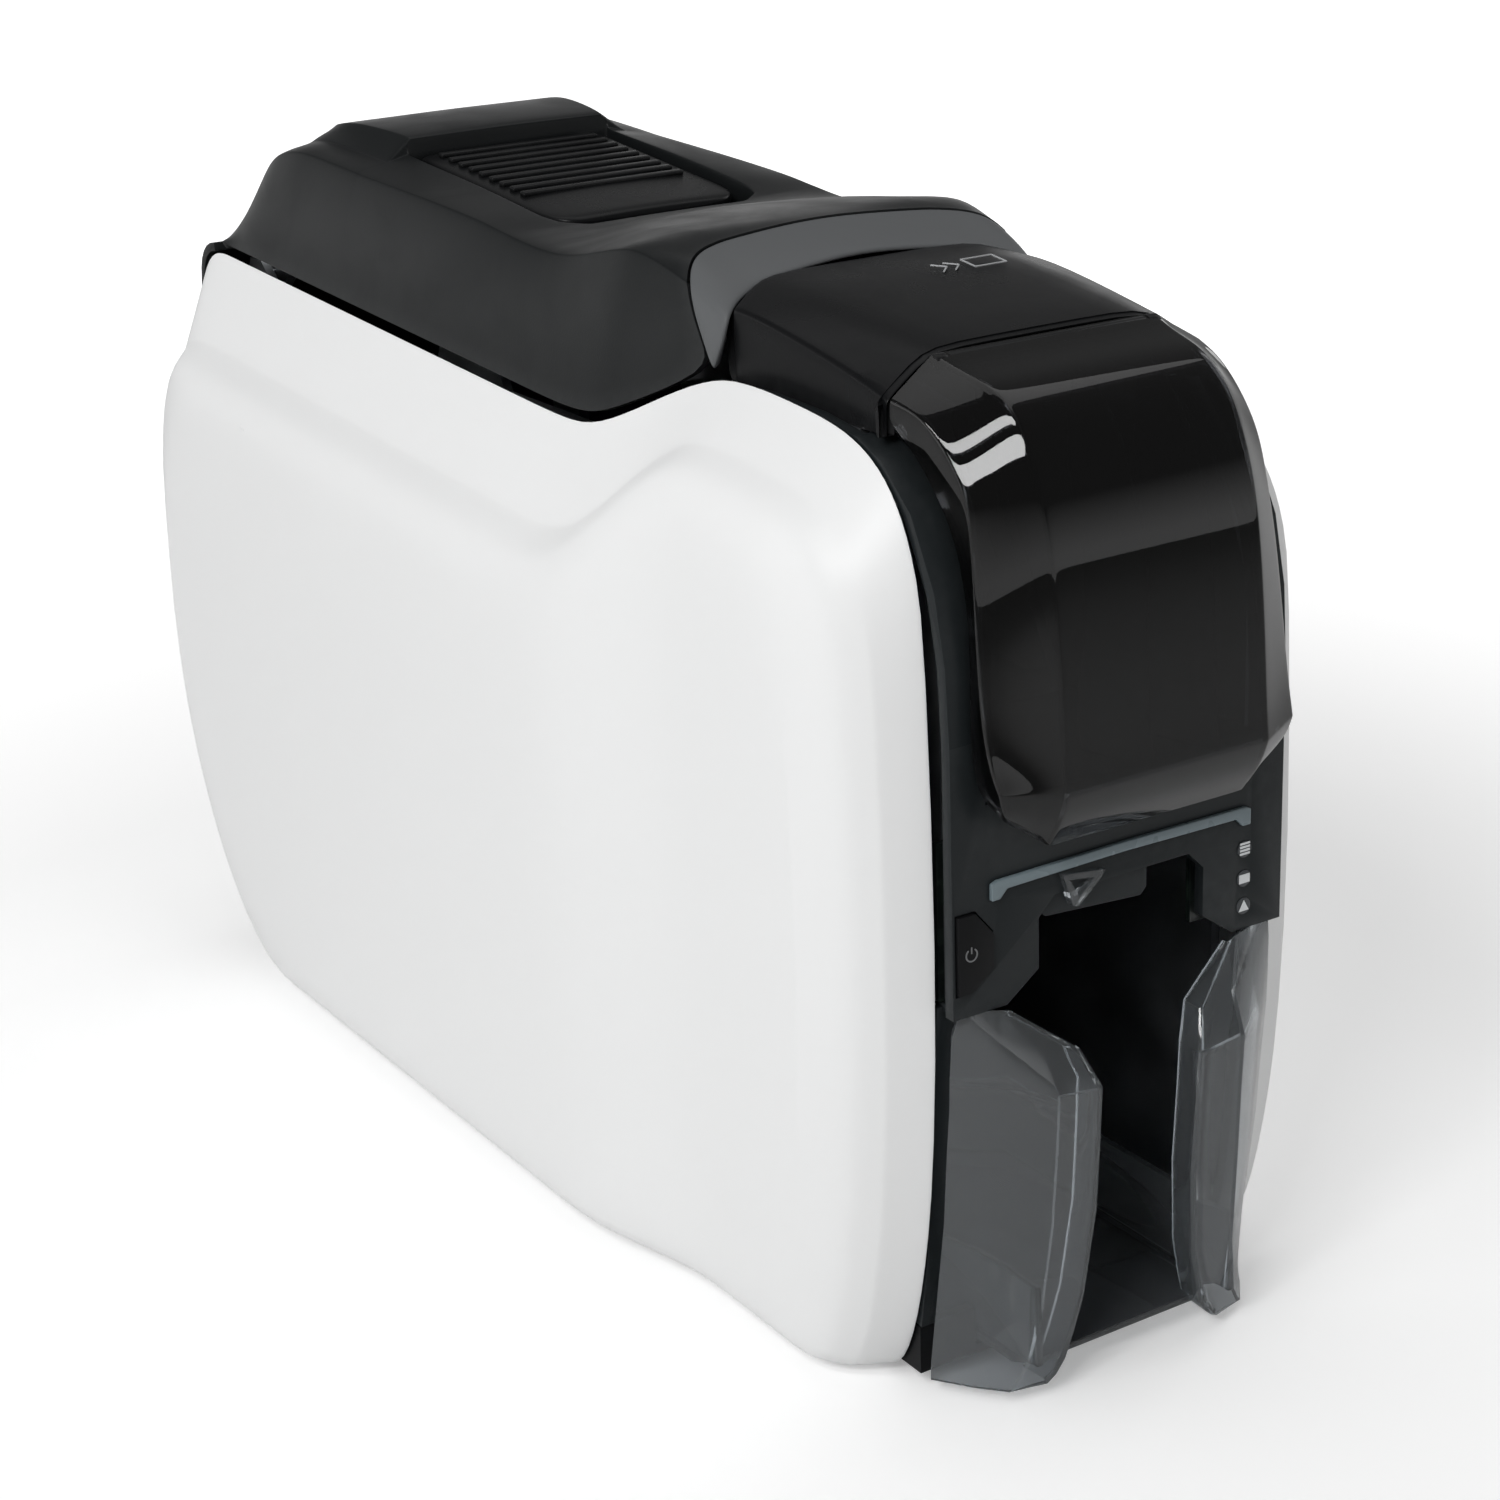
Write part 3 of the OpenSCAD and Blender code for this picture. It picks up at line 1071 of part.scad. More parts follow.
// Right half of a lid section from the bottom edge to the middle, w = 0 outside or the wall inside
function lid_half(i, w) =
  let (r = lid_rows[i], t = w > 0 ? 1 : 0, y = r[0] + r[8] * t, dz = abs(r[8]) > 2 && i > 18 ? 0 : w,
    hx = rim_x(r[0]) - lid_side_gap - w, cx = mix(lid_crease_x, 46.6, stepped(r[0])) - w, z0 = lid_low_z(y),
    zc = max(r[1] - dz, z0 + 0.5))
  [[hx, y, z0], [mix(hx, cx, 0.4) + 0.4, y, mix(z0, zc, 0.5)],
    [mix(hx, cx, 0.85) + 0.5, y, mix(z0, zc, 0.86)],
    [cx - 0.1, y, zc], [cx - 3.4, y, mix(zc, max(r[2] - dz, z0 + 0.6), 0.55)],
    [38.4 - w * 0.2, y, max(r[2] - dz, z0 + 0.7)], [r[3] + r[9] * t, y, max(r[4] - dz, z0 + 0.8)],
    [r[5] + r[9] * t, y, max(r[6] - dz, z0 + 0.9)], [16, y, max(mix(r[6], r[7], 0.6) - dz, z0 + 0.9)],
    [5, y, max(r[7] - dz, z0 + 0.9)]];
function mirrored(half) = concat([for (p = half) [-p[0], p[1], p[2]]],
  [for (i = [len(half) - 1:-1:0]) half[i]]);
// The lid steps in under the front band: the same edge, drawn in by a and set back by b
function edge_in(p, a, b) =
  let (k = p[2] < 250 ? [1, 0] : p[2] < 253 ? [0.75, 0.75] : [0.36, 1.08])
  [p[0] - k[0] * a, p[1] + b, p[2] - k[1] * a];
function lid_collar(a, b) = [for (p = lid_front_ring) edge_in(p, a, b)];
function lid_front_in(w) = [for (p = lid_front_ring) [p[0] - (p[2] < 252 ? w : 0), p[1] + w + 1.8,
  p[2] - (p[2] < 252 ? 0 : w)]];
// A shell open along its underside: rings of n points, each from one lower edge over to the other
module open_shell(outer, inner) {
  n = len(outer[0]);
  k = len(outer);
  o = n * k;
  e = n * (k - 1);
  skin = [for (i = [0:k - 2]) for (j = [0:n - 2]) let (a = i * n + j) [a + 1, a, a + n, a + n + 1]];
  back = [for (f = skin) [f[3] + o, f[2] + o, f[1] + o, f[0] + o]];
  caps = [for (j = [0:n / 2 - 2]) each [[j, j + 1, n - 2 - j, n - 1 - j],
    [e + n - 1 - j, e + n - 2 - j, e + j + 1, e + j]]];
  caps_in = [for (f = caps) [f[3] + o, f[2] + o, f[1] + o, f[0] + o]];
  low = [for (i = [0:k - 2]) let (a = i * n, b = a + n - 1) each [[a + n, a, a + o, a + n + o],
    [b, b + n, b + n + o, b + o]]];
  low_ends = [[0, n - 1, n - 1 + o, o], [e + n - 1, e, e + o, e + n - 1 + o]];
  polyhedron([for (r = concat(outer, inner)) each r], concat(skin, back, caps, caps_in, low, low_ends));
}
hook_y = 30;
module top_lid() {
  rows = len(lid_rows);
  outer = concat([mirrored(lid_collar(3.2, 0)), mirrored(lid_front_ring)],
    [for (i = [0:rows - 1]) mirrored(lid_half(i, 0))]);
  inner = concat([mirrored(lid_collar(5.6, lid_wall)), mirrored(lid_front_in(lid_wall))],
    [for (i = [0:rows - 1]) mirrored(lid_half(i, lid_wall))]);
  color("#3d4249") difference() {
    open_shell(outer, inner);
    translate([-8, hook_y - 4, well_z - 5]) cube([16, 11, 10]);
    translate([-40, pad_pivot_y, pad_pivot_z]) rotate([0, 90, 0]) cylinder(r = pad_pin_r, h = 80);
  }
}
frame_z = 236;
frame_t = 2.2;
arm_r = 6;
module lid_frame() {
  color("#8f959b") difference() {
    union() {
      translate([-38, -58, frame_z]) cube([76, 206, frame_t]);
      for (s = [-1, 1]) {
        translate([s * 37 - 1, -58, frame_z - 3]) cube([2, 206, 3 + eps]);
        for (y = [40, 76]) translate([s * 24, y, frame_z + 1])
          cylinder(r = 4, h = well_z - lid_wall - frame_z - 1);
        translate([s * 24 - 1.5, platen_y - 7, head_top_z - 8]) cube([3, 14, frame_z - head_top_z + 8 + eps]);
        translate([s * arm_x - arm_t / 2, 0, 0]) rotate([90, 0, 90]) linear_extrude(arm_t) hull() {
          translate([lid_axis_y, lid_axis_z]) circle(r = arm_r);
          translate([145, frame_z - 5]) square([3, 6]);
        }
      }
    }
    translate([-8, hook_y - 4, frame_z - 1]) cube([16, 11, 5]);
    for (s = [-1, 1]) translate([s * arm_x - 3, lid_axis_y, lid_axis_z]) rotate([0, 90, 0])
      cylinder(r = lid_pin_r + shaft_clear, h = 6);
  }
}
head_top_z = 190;
head_z = web_z + web_t + 0.3;
module head_heat_sink() {
  color("#a9aeb3") difference() {
    translate([-30, platen_y - 12, head_z + 8]) cube([60, 24, head_top_z - head_z - 8]);
    for (i = [-4:4]) translate([-31, platen_y - 1 + 2.6 * i, head_z + 14]) cube([62, 1.2, 30]);
    for (s = [-1, 1])
      translate([s * 24 - 1.5, platen_y - 12.5, head_top_z - 8]) cube([3, 25, 12]);
  }
}
module print_head() {
  color("#d8d2c0") {
    translate([-29, platen_y - 9, head_z + 2]) cube([58, 18, 6]);
    translate([-28, platen_y - 3, head_z]) cube([56, 6, 2.1]);
  }
}
module lid_front_band() {
  half = len(lid_front_ring) - 1;
  w = 2.2;
  top = mirrored([for (p = lid_front_ring) [p[0], p[1] - 0.45, p[2]]]);
  low = mirrored(lid_band_low);
  low_in = mirrored([for (p = lid_band_low) let (side = p[2] < 246)
    [p[0] - w * (side ? 0.8 : 0.5), p[1] + w * (side ? 0.4 : 0.9), p[2] - (side ? 0 : w)]]);
  top_in = mirrored([for (p = lid_front_ring) edge_in(p, w, -0.45)]);
  n = 2 * half + 2;
  rings = [for (i = [0:n - 1]) [top[i], low[i], low_in[i], top_in[i]]];
  points = [for (r = rings) each r];
  faces = [for (i = [0:n - 2]) for (j = [0:3]) let (a = i * 4, b = (j + 1) % 4)
    [a + 4 + j, a + 4 + b, a + b, a + j]];
  e = 4 * (n - 1);
  color("#8b9096") polyhedron(points, concat(faces, [[0, 1, 2, 3], [e + 3, e + 2, e + 1, e]]));
}
pad_pivot_y = 86;
pad_pivot_z = 251;
pad_pin_r = 1.5;
pad_corner = 10;
// Plain part of the pad in front of its ribs
rib_run = 24;
pad_rear_y = bar_front_y - 1.2;
function pad_top(y) = mix(pad_front_z, pad_rear_z, (y - pad_front_y) / (pad_rear_y - pad_front_y));
module release_pad() {
  color("#34373c") difference() {
    union() {
      intersection() {
        translate([-pad_x, 0, 0]) rotate([90, 0, 90]) linear_extrude(2 * pad_x)
          polygon([[pad_front_y, pad_front_z - pad_t], [pad_front_y - 0.6, pad_front_z - 1.4],
            [pad_front_y + 0.8, pad_front_z], [pad_rear_y, pad_rear_z], [pad_rear_y, pad_rear_z - 5],
            [pad_pivot_y + 3, pad_pivot_z - 3],
            [pad_pivot_y - 3, pad_pivot_z - 3], [pad_pivot_y - 12, pad_rear_z - 6.4]]);
        // The front corners are cut round
        translate([0, 0, pad_pivot_z - 8]) linear_extrude(20)
          let (x = pad_x + 1, y = pad_front_y - 1, c = pad_corner)
            polygon([[-x, y + 90], [-x, y + c], [-x + c * 0.29, y + c * 0.29], [-x + c, y], [x - c, y],
              [x - c * 0.29, y + c * 0.29], [x, y + c], [x, y + 90]]);
      }
      for (i = [0:pad_ribs - 1]) pad_rib(mix(pad_front_y + rib_run, pad_rear_y - 5, i / (pad_ribs - 1)));
      // Hook that reaches down to the striker
      translate([-5, 0, 0]) rotate([90, 0, 90]) linear_extrude(10)
        polygon([[hook_y, 252], [hook_y, striker_z - 5.2], [hook_y + 4.8, striker_z - 2.8],
          [hook_y + 3, striker_z - 1.6], [hook_y + 3, 252]]);
    }
    translate([-pad_x - 1, pad_pivot_y, pad_pivot_z]) rotate([0, 90, 0])
      cylinder(r = pad_pin_r + shaft_clear, h = 2 * pad_x + 2);
  }
}
module release_pad_pin() {
  color("#b8bcc0") rod(-well_x - lid_wall, well_x + lid_wall, pad_pivot_y, pad_pivot_z, pad_pin_r);
}
module latch_striker() {
  color("#b8bcc0") rod(-wall_out, wall_out, striker_y, striker_z, striker_r);
}
module pad_rib(y) {
  slope = atan2(pad_rear_z - pad_front_z, pad_rear_y - pad_front_y);
  translate([0, y, pad_top(y) - 0.4]) rotate([slope, 0, 0])
    translate([-pad_x + 3, -1.6, 0]) cube([2 * pad_x - 6, 3.2, 1.3]);
}
module lid_hinge_pins() {
  color("#b8bcc0") for (s = [-1, 1])
    translate([s * (arm_x + 3) - 4.9, lid_axis_y, lid_axis_z]) rotate([0, 90, 0])
      cylinder(r = lid_pin_r, h = 9.8);
}

// ---- output hopper ----
wing_rows = [[hopper_z, 25, -188.4, 35.5, -186.2, -170.9], [9, 20.4, -189.2, 31.8, -187.8, -171.3],
  [25, 16.2, -190.8, 28.8, -190.4, -173.8], [48, 14, -192.8, 27.6, -193, -177.3],
  [68, wing_in_x, -194.2, wing_front_x, -194.3, -179],
  [78, wing_in_x, wing_y, wing_front_x, wing_y - 0.2, -180.2]];
module wing_sheet() {
  rows = len(wing_rows);
  w = hopper_wall;
  front = [for (r = wing_rows) each [[r[1], r[2], r[0]], [r[3], r[4], r[0]], [wing_out_x, r[5], r[0]]]];
  back = [for (r = wing_rows) each [[r[1], r[2] + w, r[0]], [r[3] - 0.6, r[4] + w, r[0]],
    [wing_out_x, r[5] + w * 1.3, r[0]]]];
  // The upper edge rises from the front face to the outer edge
  top = [[wing_in_x, wing_y + 0.1, 80], [wing_front_x, wing_y, 81.5], [wing_out_x, -179.4, wing_top_z]];
  top_back = [[wing_in_x, wing_y + w, 80], [wing_front_x - 0.6, wing_y + w, 81.5],
    [wing_out_x, -179.4 + w * 1.3, wing_top_z]];
  f = concat(front, top);
  b = concat(back, top_back);
  k = rows + 1;
  o = 3 * k;
  skin = [for (i = [0:k - 2]) for (j = [0:1]) let (a = 3 * i + j) [a, a + 3, a + 4, a + 1]];
  rear = [for (q = skin) [q[3] + o, q[2] + o, q[1] + o, q[0] + o]];
  edges = [for (i = [0:k - 2]) let (a = 3 * i) each [[a + 3, a, a + o, a + 3 + o],
    [a + 2, a + 5, a + 5 + o, a + 2 + o]]];
  e = 3 * (k - 1);
  ends = [for (j = [0:1]) each [[j, j + 1, j + 1 + o, j + o], [e + j + 1, e + j, e + j + o, e + j + 1 + o]]];
  polyhedron(concat(f, b), concat(skin, rear, edges, ends));
}
bin_z = 9;
bin_x = 28.2;
module output_hopper() {
  color("#dfe6ea", 0.5) {
    for (s = [0, 1]) mirror([s, 0, 0]) {
      wing_sheet();
      // Side wall of the bin with its foot to the wing
      translate([bin_x, -191, bin_z]) cube([hopper_wall, 99, 22]);
    }
    translate([-bin_x - hopper_wall, -183.6, bin_z - hopper_wall])
      cube([2 * (bin_x + hopper_wall), 91.6, hopper_wall + eps]);
  }
}

left_side_panel();
right_side_panel();
base_tray();
rubber_feet();
left_chassis_wall();
right_chassis_wall();
rear_panel();
front_bezel();
feeder_roof();
light_bar();
power_button();
indicator_windows();
front_board();
output_hopper();
input_cover();
input_cover_pins();
input_tray();
card_weight();
pick_roller();
pick_shaft();
pick_pulley();
cleaning_roller();
front_drive_roller();
front_drive_shaft();
front_drive_pulley();
platen_roller();
platen_shaft();
platen_gear();
rear_drive_roller();
rear_drive_shaft();
rear_drive_pulley();
front_pinch_roller();
rear_pinch_roller();
timing_belt();
motor_pinion();
stepper_motor();
card_deck();
card_sensors();
card_diverter();
output_chute();
ribbon_supply_core();
ribbon_supply_film();
ribbon_takeup_core();
ribbon_takeup_film();
ribbon_web();
ribbon_motor();
top_lid();
lid_frame();
lid_front_band();
release_pad();
release_pad_pin();
latch_striker();
lid_hinge_pins();
print_head();
head_heat_sink();
main_board();
usb_port();
ethernet_port();
power_inlet();
screws();
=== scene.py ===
"""Dresses a desktop card printer: panels, lid, feeder, hopper, finishes, studio and camera."""

import logging
import math
from dataclasses import dataclass, field
from enum import Enum
from typing import Callable, Iterable, Sequence

import bpy
from mathutils import Matrix, Vector


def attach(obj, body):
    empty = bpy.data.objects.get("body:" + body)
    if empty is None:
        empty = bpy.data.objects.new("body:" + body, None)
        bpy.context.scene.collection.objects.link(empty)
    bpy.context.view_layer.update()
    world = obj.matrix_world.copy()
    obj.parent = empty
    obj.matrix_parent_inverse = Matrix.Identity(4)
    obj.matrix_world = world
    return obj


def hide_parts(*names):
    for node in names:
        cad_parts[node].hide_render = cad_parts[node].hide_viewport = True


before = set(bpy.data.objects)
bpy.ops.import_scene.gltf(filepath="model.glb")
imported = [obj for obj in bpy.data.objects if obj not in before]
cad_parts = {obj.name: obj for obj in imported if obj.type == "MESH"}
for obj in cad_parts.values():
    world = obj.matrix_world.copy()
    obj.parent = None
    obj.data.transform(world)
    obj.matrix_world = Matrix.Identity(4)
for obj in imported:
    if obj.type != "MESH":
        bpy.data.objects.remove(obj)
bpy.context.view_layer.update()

Point = tuple[float, float, float]
Pair = tuple[float, float]
Colour = tuple[float, float, float]
Piece = bpy.types.Object

MM = 0.001
SAME_PLANE = 0.4  # degrees between two faces that count as one
SENSOR_MM = 36.0  # width of the camera's sensor
LOG = logging.getLogger("card_printer")


def mix(a: float, b: float, t: float) -> float:
    """Gives the value a share t of the way from a to b."""
    return a + (b - a) * t


def ease(t: float) -> float:
    """Gives a smooth step from 0 to 1 as t goes from 0 to 1."""
    u = min(max(t, 0.0), 1.0)
    return u * u * (3 - 2 * u)


def mirrored(half: Sequence[Point]) -> list[Point]:
    """Gives a whole section from its right half, from the left end to the right end."""
    return [(-x, y, z) for x, y, z in half] + list(reversed(half))


# ---------------------------------------------------------------- modelling


class Bench:
    """Modelling steps on one piece at a time, done with the edit-mode tools and modifiers."""

    @staticmethod
    def clear() -> None:
        """Leaves edit mode and deselects everything."""
        if bpy.context.object is not None and bpy.context.object.mode != "OBJECT":
            bpy.ops.object.mode_set(mode="OBJECT")
        bpy.ops.object.select_all(action="DESELECT")

    @staticmethod
    def take(piece: Piece) -> None:
        """Selects one piece alone and makes it active.

        Args:
            piece: The piece to select.
        """
        Bench.clear()
        piece.select_set(True)
        bpy.context.view_layer.objects.active = piece

    @staticmethod
    def edit(piece: Piece, step: Callable[[], object]) -> None:
        """Runs a step in edit mode with the whole mesh selected.

        Args:
            piece: The piece to work on.
            step: The edit-mode work.
        """
        Bench.take(piece)
        bpy.ops.object.mode_set(mode="EDIT")
        bpy.ops.mesh.select_mode(type="VERT")
        bpy.ops.mesh.select_all(action="SELECT")
        step()
        bpy.ops.object.mode_set(mode="OBJECT")

    @staticmethod
    def named(name: str) -> Piece:
        """Names the active object and its mesh, and gives it back.

        Args:
            name: The new name.

        Returns:
            The object.
        """
        piece = bpy.context.object
        piece.name = name
        piece.data.name = name
        return piece

    @staticmethod
    def merge(piece: Piece, gap: float = 0.002) -> None:
        """Joins corners that lie closer than gap millimetres."""
        Bench.edit(piece, lambda: bpy.ops.mesh.remove_doubles(threshold=gap * MM))

    @staticmethod
    def outward(piece: Piece) -> None:
        """Turns every face of a closed piece outwards."""
        Bench.edit(piece, lambda: bpy.ops.mesh.normals_make_consistent(inside=False))

    @staticmethod
    def flip(piece: Piece) -> None:
        """Turns every face round."""
        Bench.edit(piece, bpy.ops.mesh.flip_normals)

    @staticmethod
    def close_ends(piece: Piece) -> None:
        """Fills the open ends of a tube.

        Args:
            piece: The tube.
        """

        def step() -> None:
            """Selects the open edges and fills them."""
            bpy.ops.mesh.select_all(action="DESELECT")
            bpy.ops.mesh.select_mode(type="EDGE")
            bpy.ops.mesh.select_non_manifold(extend=False)
            bpy.ops.mesh.edge_face_add()

        Bench.edit(piece, step)

    @staticmethod
    def modify(piece: Piece, kind: str, **settings: object) -> Piece:
        """Adds one modifier and applies it.

        Args:
            piece: The piece to change.
            kind: Blender's name of the modifier's type.
            settings: The modifier's values.

        Returns:
            The same piece.
        """
        Bench.take(piece)
        modifier = piece.modifiers.new(kind.title(), kind)
        for key, value in settings.items():
            setattr(modifier, key, value)
        bpy.ops.object.modifier_apply(modifier=modifier.name)
        return piece

    @staticmethod
    def round_edges(piece: Piece, width: float, steps: int = 2, degrees: float = 30.0) -> Piece:
        """Rounds the edges that are sharper than an angle.

        Args:
            piece: The piece to round.
            width: Width of the rounding in millimetres.
            steps: Number of faces across it.
            degrees: Least angle between the faces.

        Returns:
            The same piece.
        """
        return Bench.modify(piece, "BEVEL", width=width * MM, segments=steps, limit_method="ANGLE",
                            angle_limit=math.radians(degrees), use_clamp_overlap=True)

    @staticmethod
    def soften(piece: Piece, levels: int = 1) -> Piece:
        """Subdivides a piece into a smooth surface."""
        return Bench.modify(piece, "SUBSURF", levels=levels, render_levels=levels)

    @staticmethod
    def thicken(piece: Piece, wall: float, even: bool = True) -> Piece:
        """Gives a sheet a wall of so many millimetres on its inner side."""
        return Bench.modify(piece, "SOLIDIFY", thickness=wall * MM, offset=-1.0,
                            use_even_offset=even)

    @staticmethod
    def shade(piece: Piece, degrees: float = 32.0) -> Piece:
        """Shades a piece smooth, but keeps edges that are sharper than an angle.

        Args:
            piece: The piece to shade.
            degrees: The angle.

        Returns:
            The same piece.
        """
        Bench.take(piece)
        bpy.ops.object.shade_smooth_by_angle(angle=math.radians(degrees))
        return piece

    @staticmethod
    def skin(name: str, rows: Sequence[Sequence[Point]], closed: bool = False) -> Piece:
        """Lays a flat grid and pulls its corners onto rows of points in millimetres.

        Args:
            name: Name of the piece.
            rows: Rows of points, all of one length.
            closed: Whether each row runs round to its first point.

        Returns:
            The new piece, a sheet or a tube.
        """
        wide = len(rows[0]) if closed else len(rows[0]) - 1
        high = len(rows) - 1
        Bench.clear()
        bpy.ops.mesh.primitive_grid_add(x_subdivisions=wide, y_subdivisions=high, size=2.0)
        piece = Bench.named(name)
        for corner in piece.data.vertices:
            i = round((corner.co.x + 1) / 2 * wide) % len(rows[0])
            j = round((corner.co.y + 1) / 2 * high)
            corner.co = Vector(rows[j][i]) * MM
        Bench.merge(piece)
        return piece

    @staticmethod
    def loft(name: str, rows: Sequence[Sequence[Point]], levels: int = 0) -> Piece:
        """Lays a tube through closed rows, fills its ends and smooths it.

        Args:
            name: Name of the piece.
            rows: Rows of points, all of one length.
            levels: How often it is subdivided.

        Returns:
            The new closed piece.
        """
        piece = Bench.skin(name, rows, closed=True)
        Bench.close_ends(piece)
        if levels:
            Bench.soften(piece, levels)
        Bench.outward(piece)
        return piece

    @staticmethod
    def prism(name: str, outline: Sequence[Pair], axis: str, low: float, high: float) -> Piece:
        """Extrudes a flat outline along one axis, all in millimetres.

        Args:
            name: Name of the piece.
            outline: Corners of the outline, in the two other axes' order.
            axis: The axis to extrude along: x, y or z.
            low: Where the piece starts on the axis.
            high: Where it ends.

        Returns:
            The new closed piece.
        """
        Bench.clear()
        bpy.ops.mesh.primitive_circle_add(vertices=len(outline), radius=1.0, fill_type="NGON")
        piece = Bench.named(name)
        spot = {"x": lambda a, b: (low, a, b), "y": lambda a, b: (a, low, b),
                "z": lambda a, b: (a, b, low)}[axis]
        for corner, (a, b) in zip(piece.data.vertices, outline):
            corner.co = Vector(spot(a, b)) * MM
        way = Vector([(high - low) * MM if axis == k else 0.0 for k in "xyz"])
        move = {"value": way}
        Bench.edit(piece, lambda: bpy.ops.mesh.extrude_region_move(TRANSFORM_OT_translate=move))
        Bench.outward(piece)
        return piece

    @staticmethod
    def block(name: str, low: Point, high: Point, rounding: float = 0.3) -> Piece:
        """Makes a block with rounded edges between two corners in millimetres.

        Args:
            name: Name of the piece.
            low: Its lowest corner.
            high: Its highest corner.
            rounding: Width of the rounding.

        Returns:
            The new piece.
        """
        Bench.clear()
        bpy.ops.mesh.primitive_cube_add(size=1.0)
        piece = Bench.named(name)
        size = [(b - a) * MM for a, b in zip(low, high)]
        middle = [(a + b) / 2 * MM for a, b in zip(low, high)]

        def step() -> None:
            """Sets the block's size and place."""
            bpy.ops.transform.resize(value=size, center_override=(0, 0, 0))
            bpy.ops.transform.translate(value=middle)

        Bench.edit(piece, step)
        return Bench.round_edges(piece, rounding, 3)

    @staticmethod
    def rod(name: str, start: Point, end: Point, radius: float, sides: int = 32,
            rounding: float = 0.2) -> Piece:
        """Makes a round bar between two points in millimetres.

        Args:
            name: Name of the piece.
            start: Middle of one end.
            end: Middle of the other.
            radius: Its radius.
            sides: Number of its sides.
            rounding: Width of the rounding, or 0 for none.

        Returns:
            The new piece.
        """
        a, b = Vector(start) * MM, Vector(end) * MM
        Bench.clear()
        bpy.ops.mesh.primitive_cylinder_add(vertices=sides, radius=radius * MM,
                                            depth=(b - a).length)
        piece = Bench.named(name)
        turn = (b - a).to_track_quat("Z", "Y").to_matrix().to_4x4()
        piece.data.transform(Matrix.Translation((a + b) / 2) @ turn)
        if rounding > 0:
            Bench.round_edges(piece, rounding, 2)
        return piece

    @staticmethod
    def node_copy(node: str, name: str, rounding: float = 0.4, degrees: float = 34.0) -> Piece:
        """Copies a solid's mesh, joins its loose faces and rounds its edges.

        Args:
            node: The solid's name.
            name: Name of the new piece.
            rounding: Width of the rounding in millimetres.
            degrees: Least angle of an edge that is rounded.

        Returns:
            The new piece.
        """
        piece = bpy.data.objects.new(name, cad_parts[node].data.copy())
        piece.data.name = name
        bpy.context.scene.collection.objects.link(piece)
        Bench.take(piece)
        bpy.ops.mesh.customdata_custom_splitnormals_clear()
        Bench.merge(piece, 0.001)
        same = math.radians(SAME_PLANE)
        Bench.edit(piece, lambda: bpy.ops.mesh.dissolve_limited(angle_limit=same))
        if rounding > 0:
            Bench.round_edges(piece, rounding, 2, degrees)
        return Bench.shade(piece, 28)

    @staticmethod
    def join(pieces: Sequence[Piece], name: str = "") -> Piece:
        """Joins pieces into the first one, and may rename it.

        Args:
            pieces: The pieces to join.
            name: A new name, or nothing to keep the first piece's.

        Returns:
            The first piece.
        """
        Bench.clear()
        for piece in pieces:
            piece.select_set(True)
        bpy.context.view_layer.objects.active = pieces[0]
        bpy.ops.object.join()
        if name:
            pieces[0].name = name
        return pieces[0]

    @staticmethod
    def moved_copy(piece: Piece, name: str, change: Matrix) -> Piece:
        """Copies a piece with its own mesh and moves, turns or mirrors the copy.

        Args:
            piece: The piece to copy.
            name: Name of the copy.
            change: The move.

        Returns:
            The copy.
        """
        twin = bpy.data.objects.new(name, piece.data.copy())
        twin.data.name = name
        bpy.context.scene.collection.objects.link(twin)
        twin.data.transform(change)
        if change.determinant() < 0:
            Bench.flip(twin)
        return twin

    @staticmethod
    def cut(piece: Piece, tool: Piece) -> Piece:
        """Cuts one piece with another, which is used up.

        Args:
            piece: The piece to cut.
            tool: The piece to cut with.

        Returns:
            The first piece.
        """
        Bench.modify(piece, "BOOLEAN", object=tool, operation="DIFFERENCE", solver="EXACT")
        bpy.data.objects.remove(tool)
        return piece


# ---------------------------------------------------------------- finishes


class Effect(Enum):
    """Shader node groups that several finishes share."""

    GRAIN = "moulded_grain"
    HANDLING = "handling_marks"
    LAY = "lay_lines"
    # paler convex edges: a painted edge highlight, with some wear
    EDGES = "edge_highlight_and_wear"


class Scale:
    """Scales of the patterns, per metre."""

    clouds = 900.0
    slow_clouds = 9.0
    handling = 28.0
    edge_highlight_and_wear = 300.0
    scratches = 700.0
    frost = 1500.0
    ground_rubber = 4000.0
    tracks = 160.0
    turns = 260.0


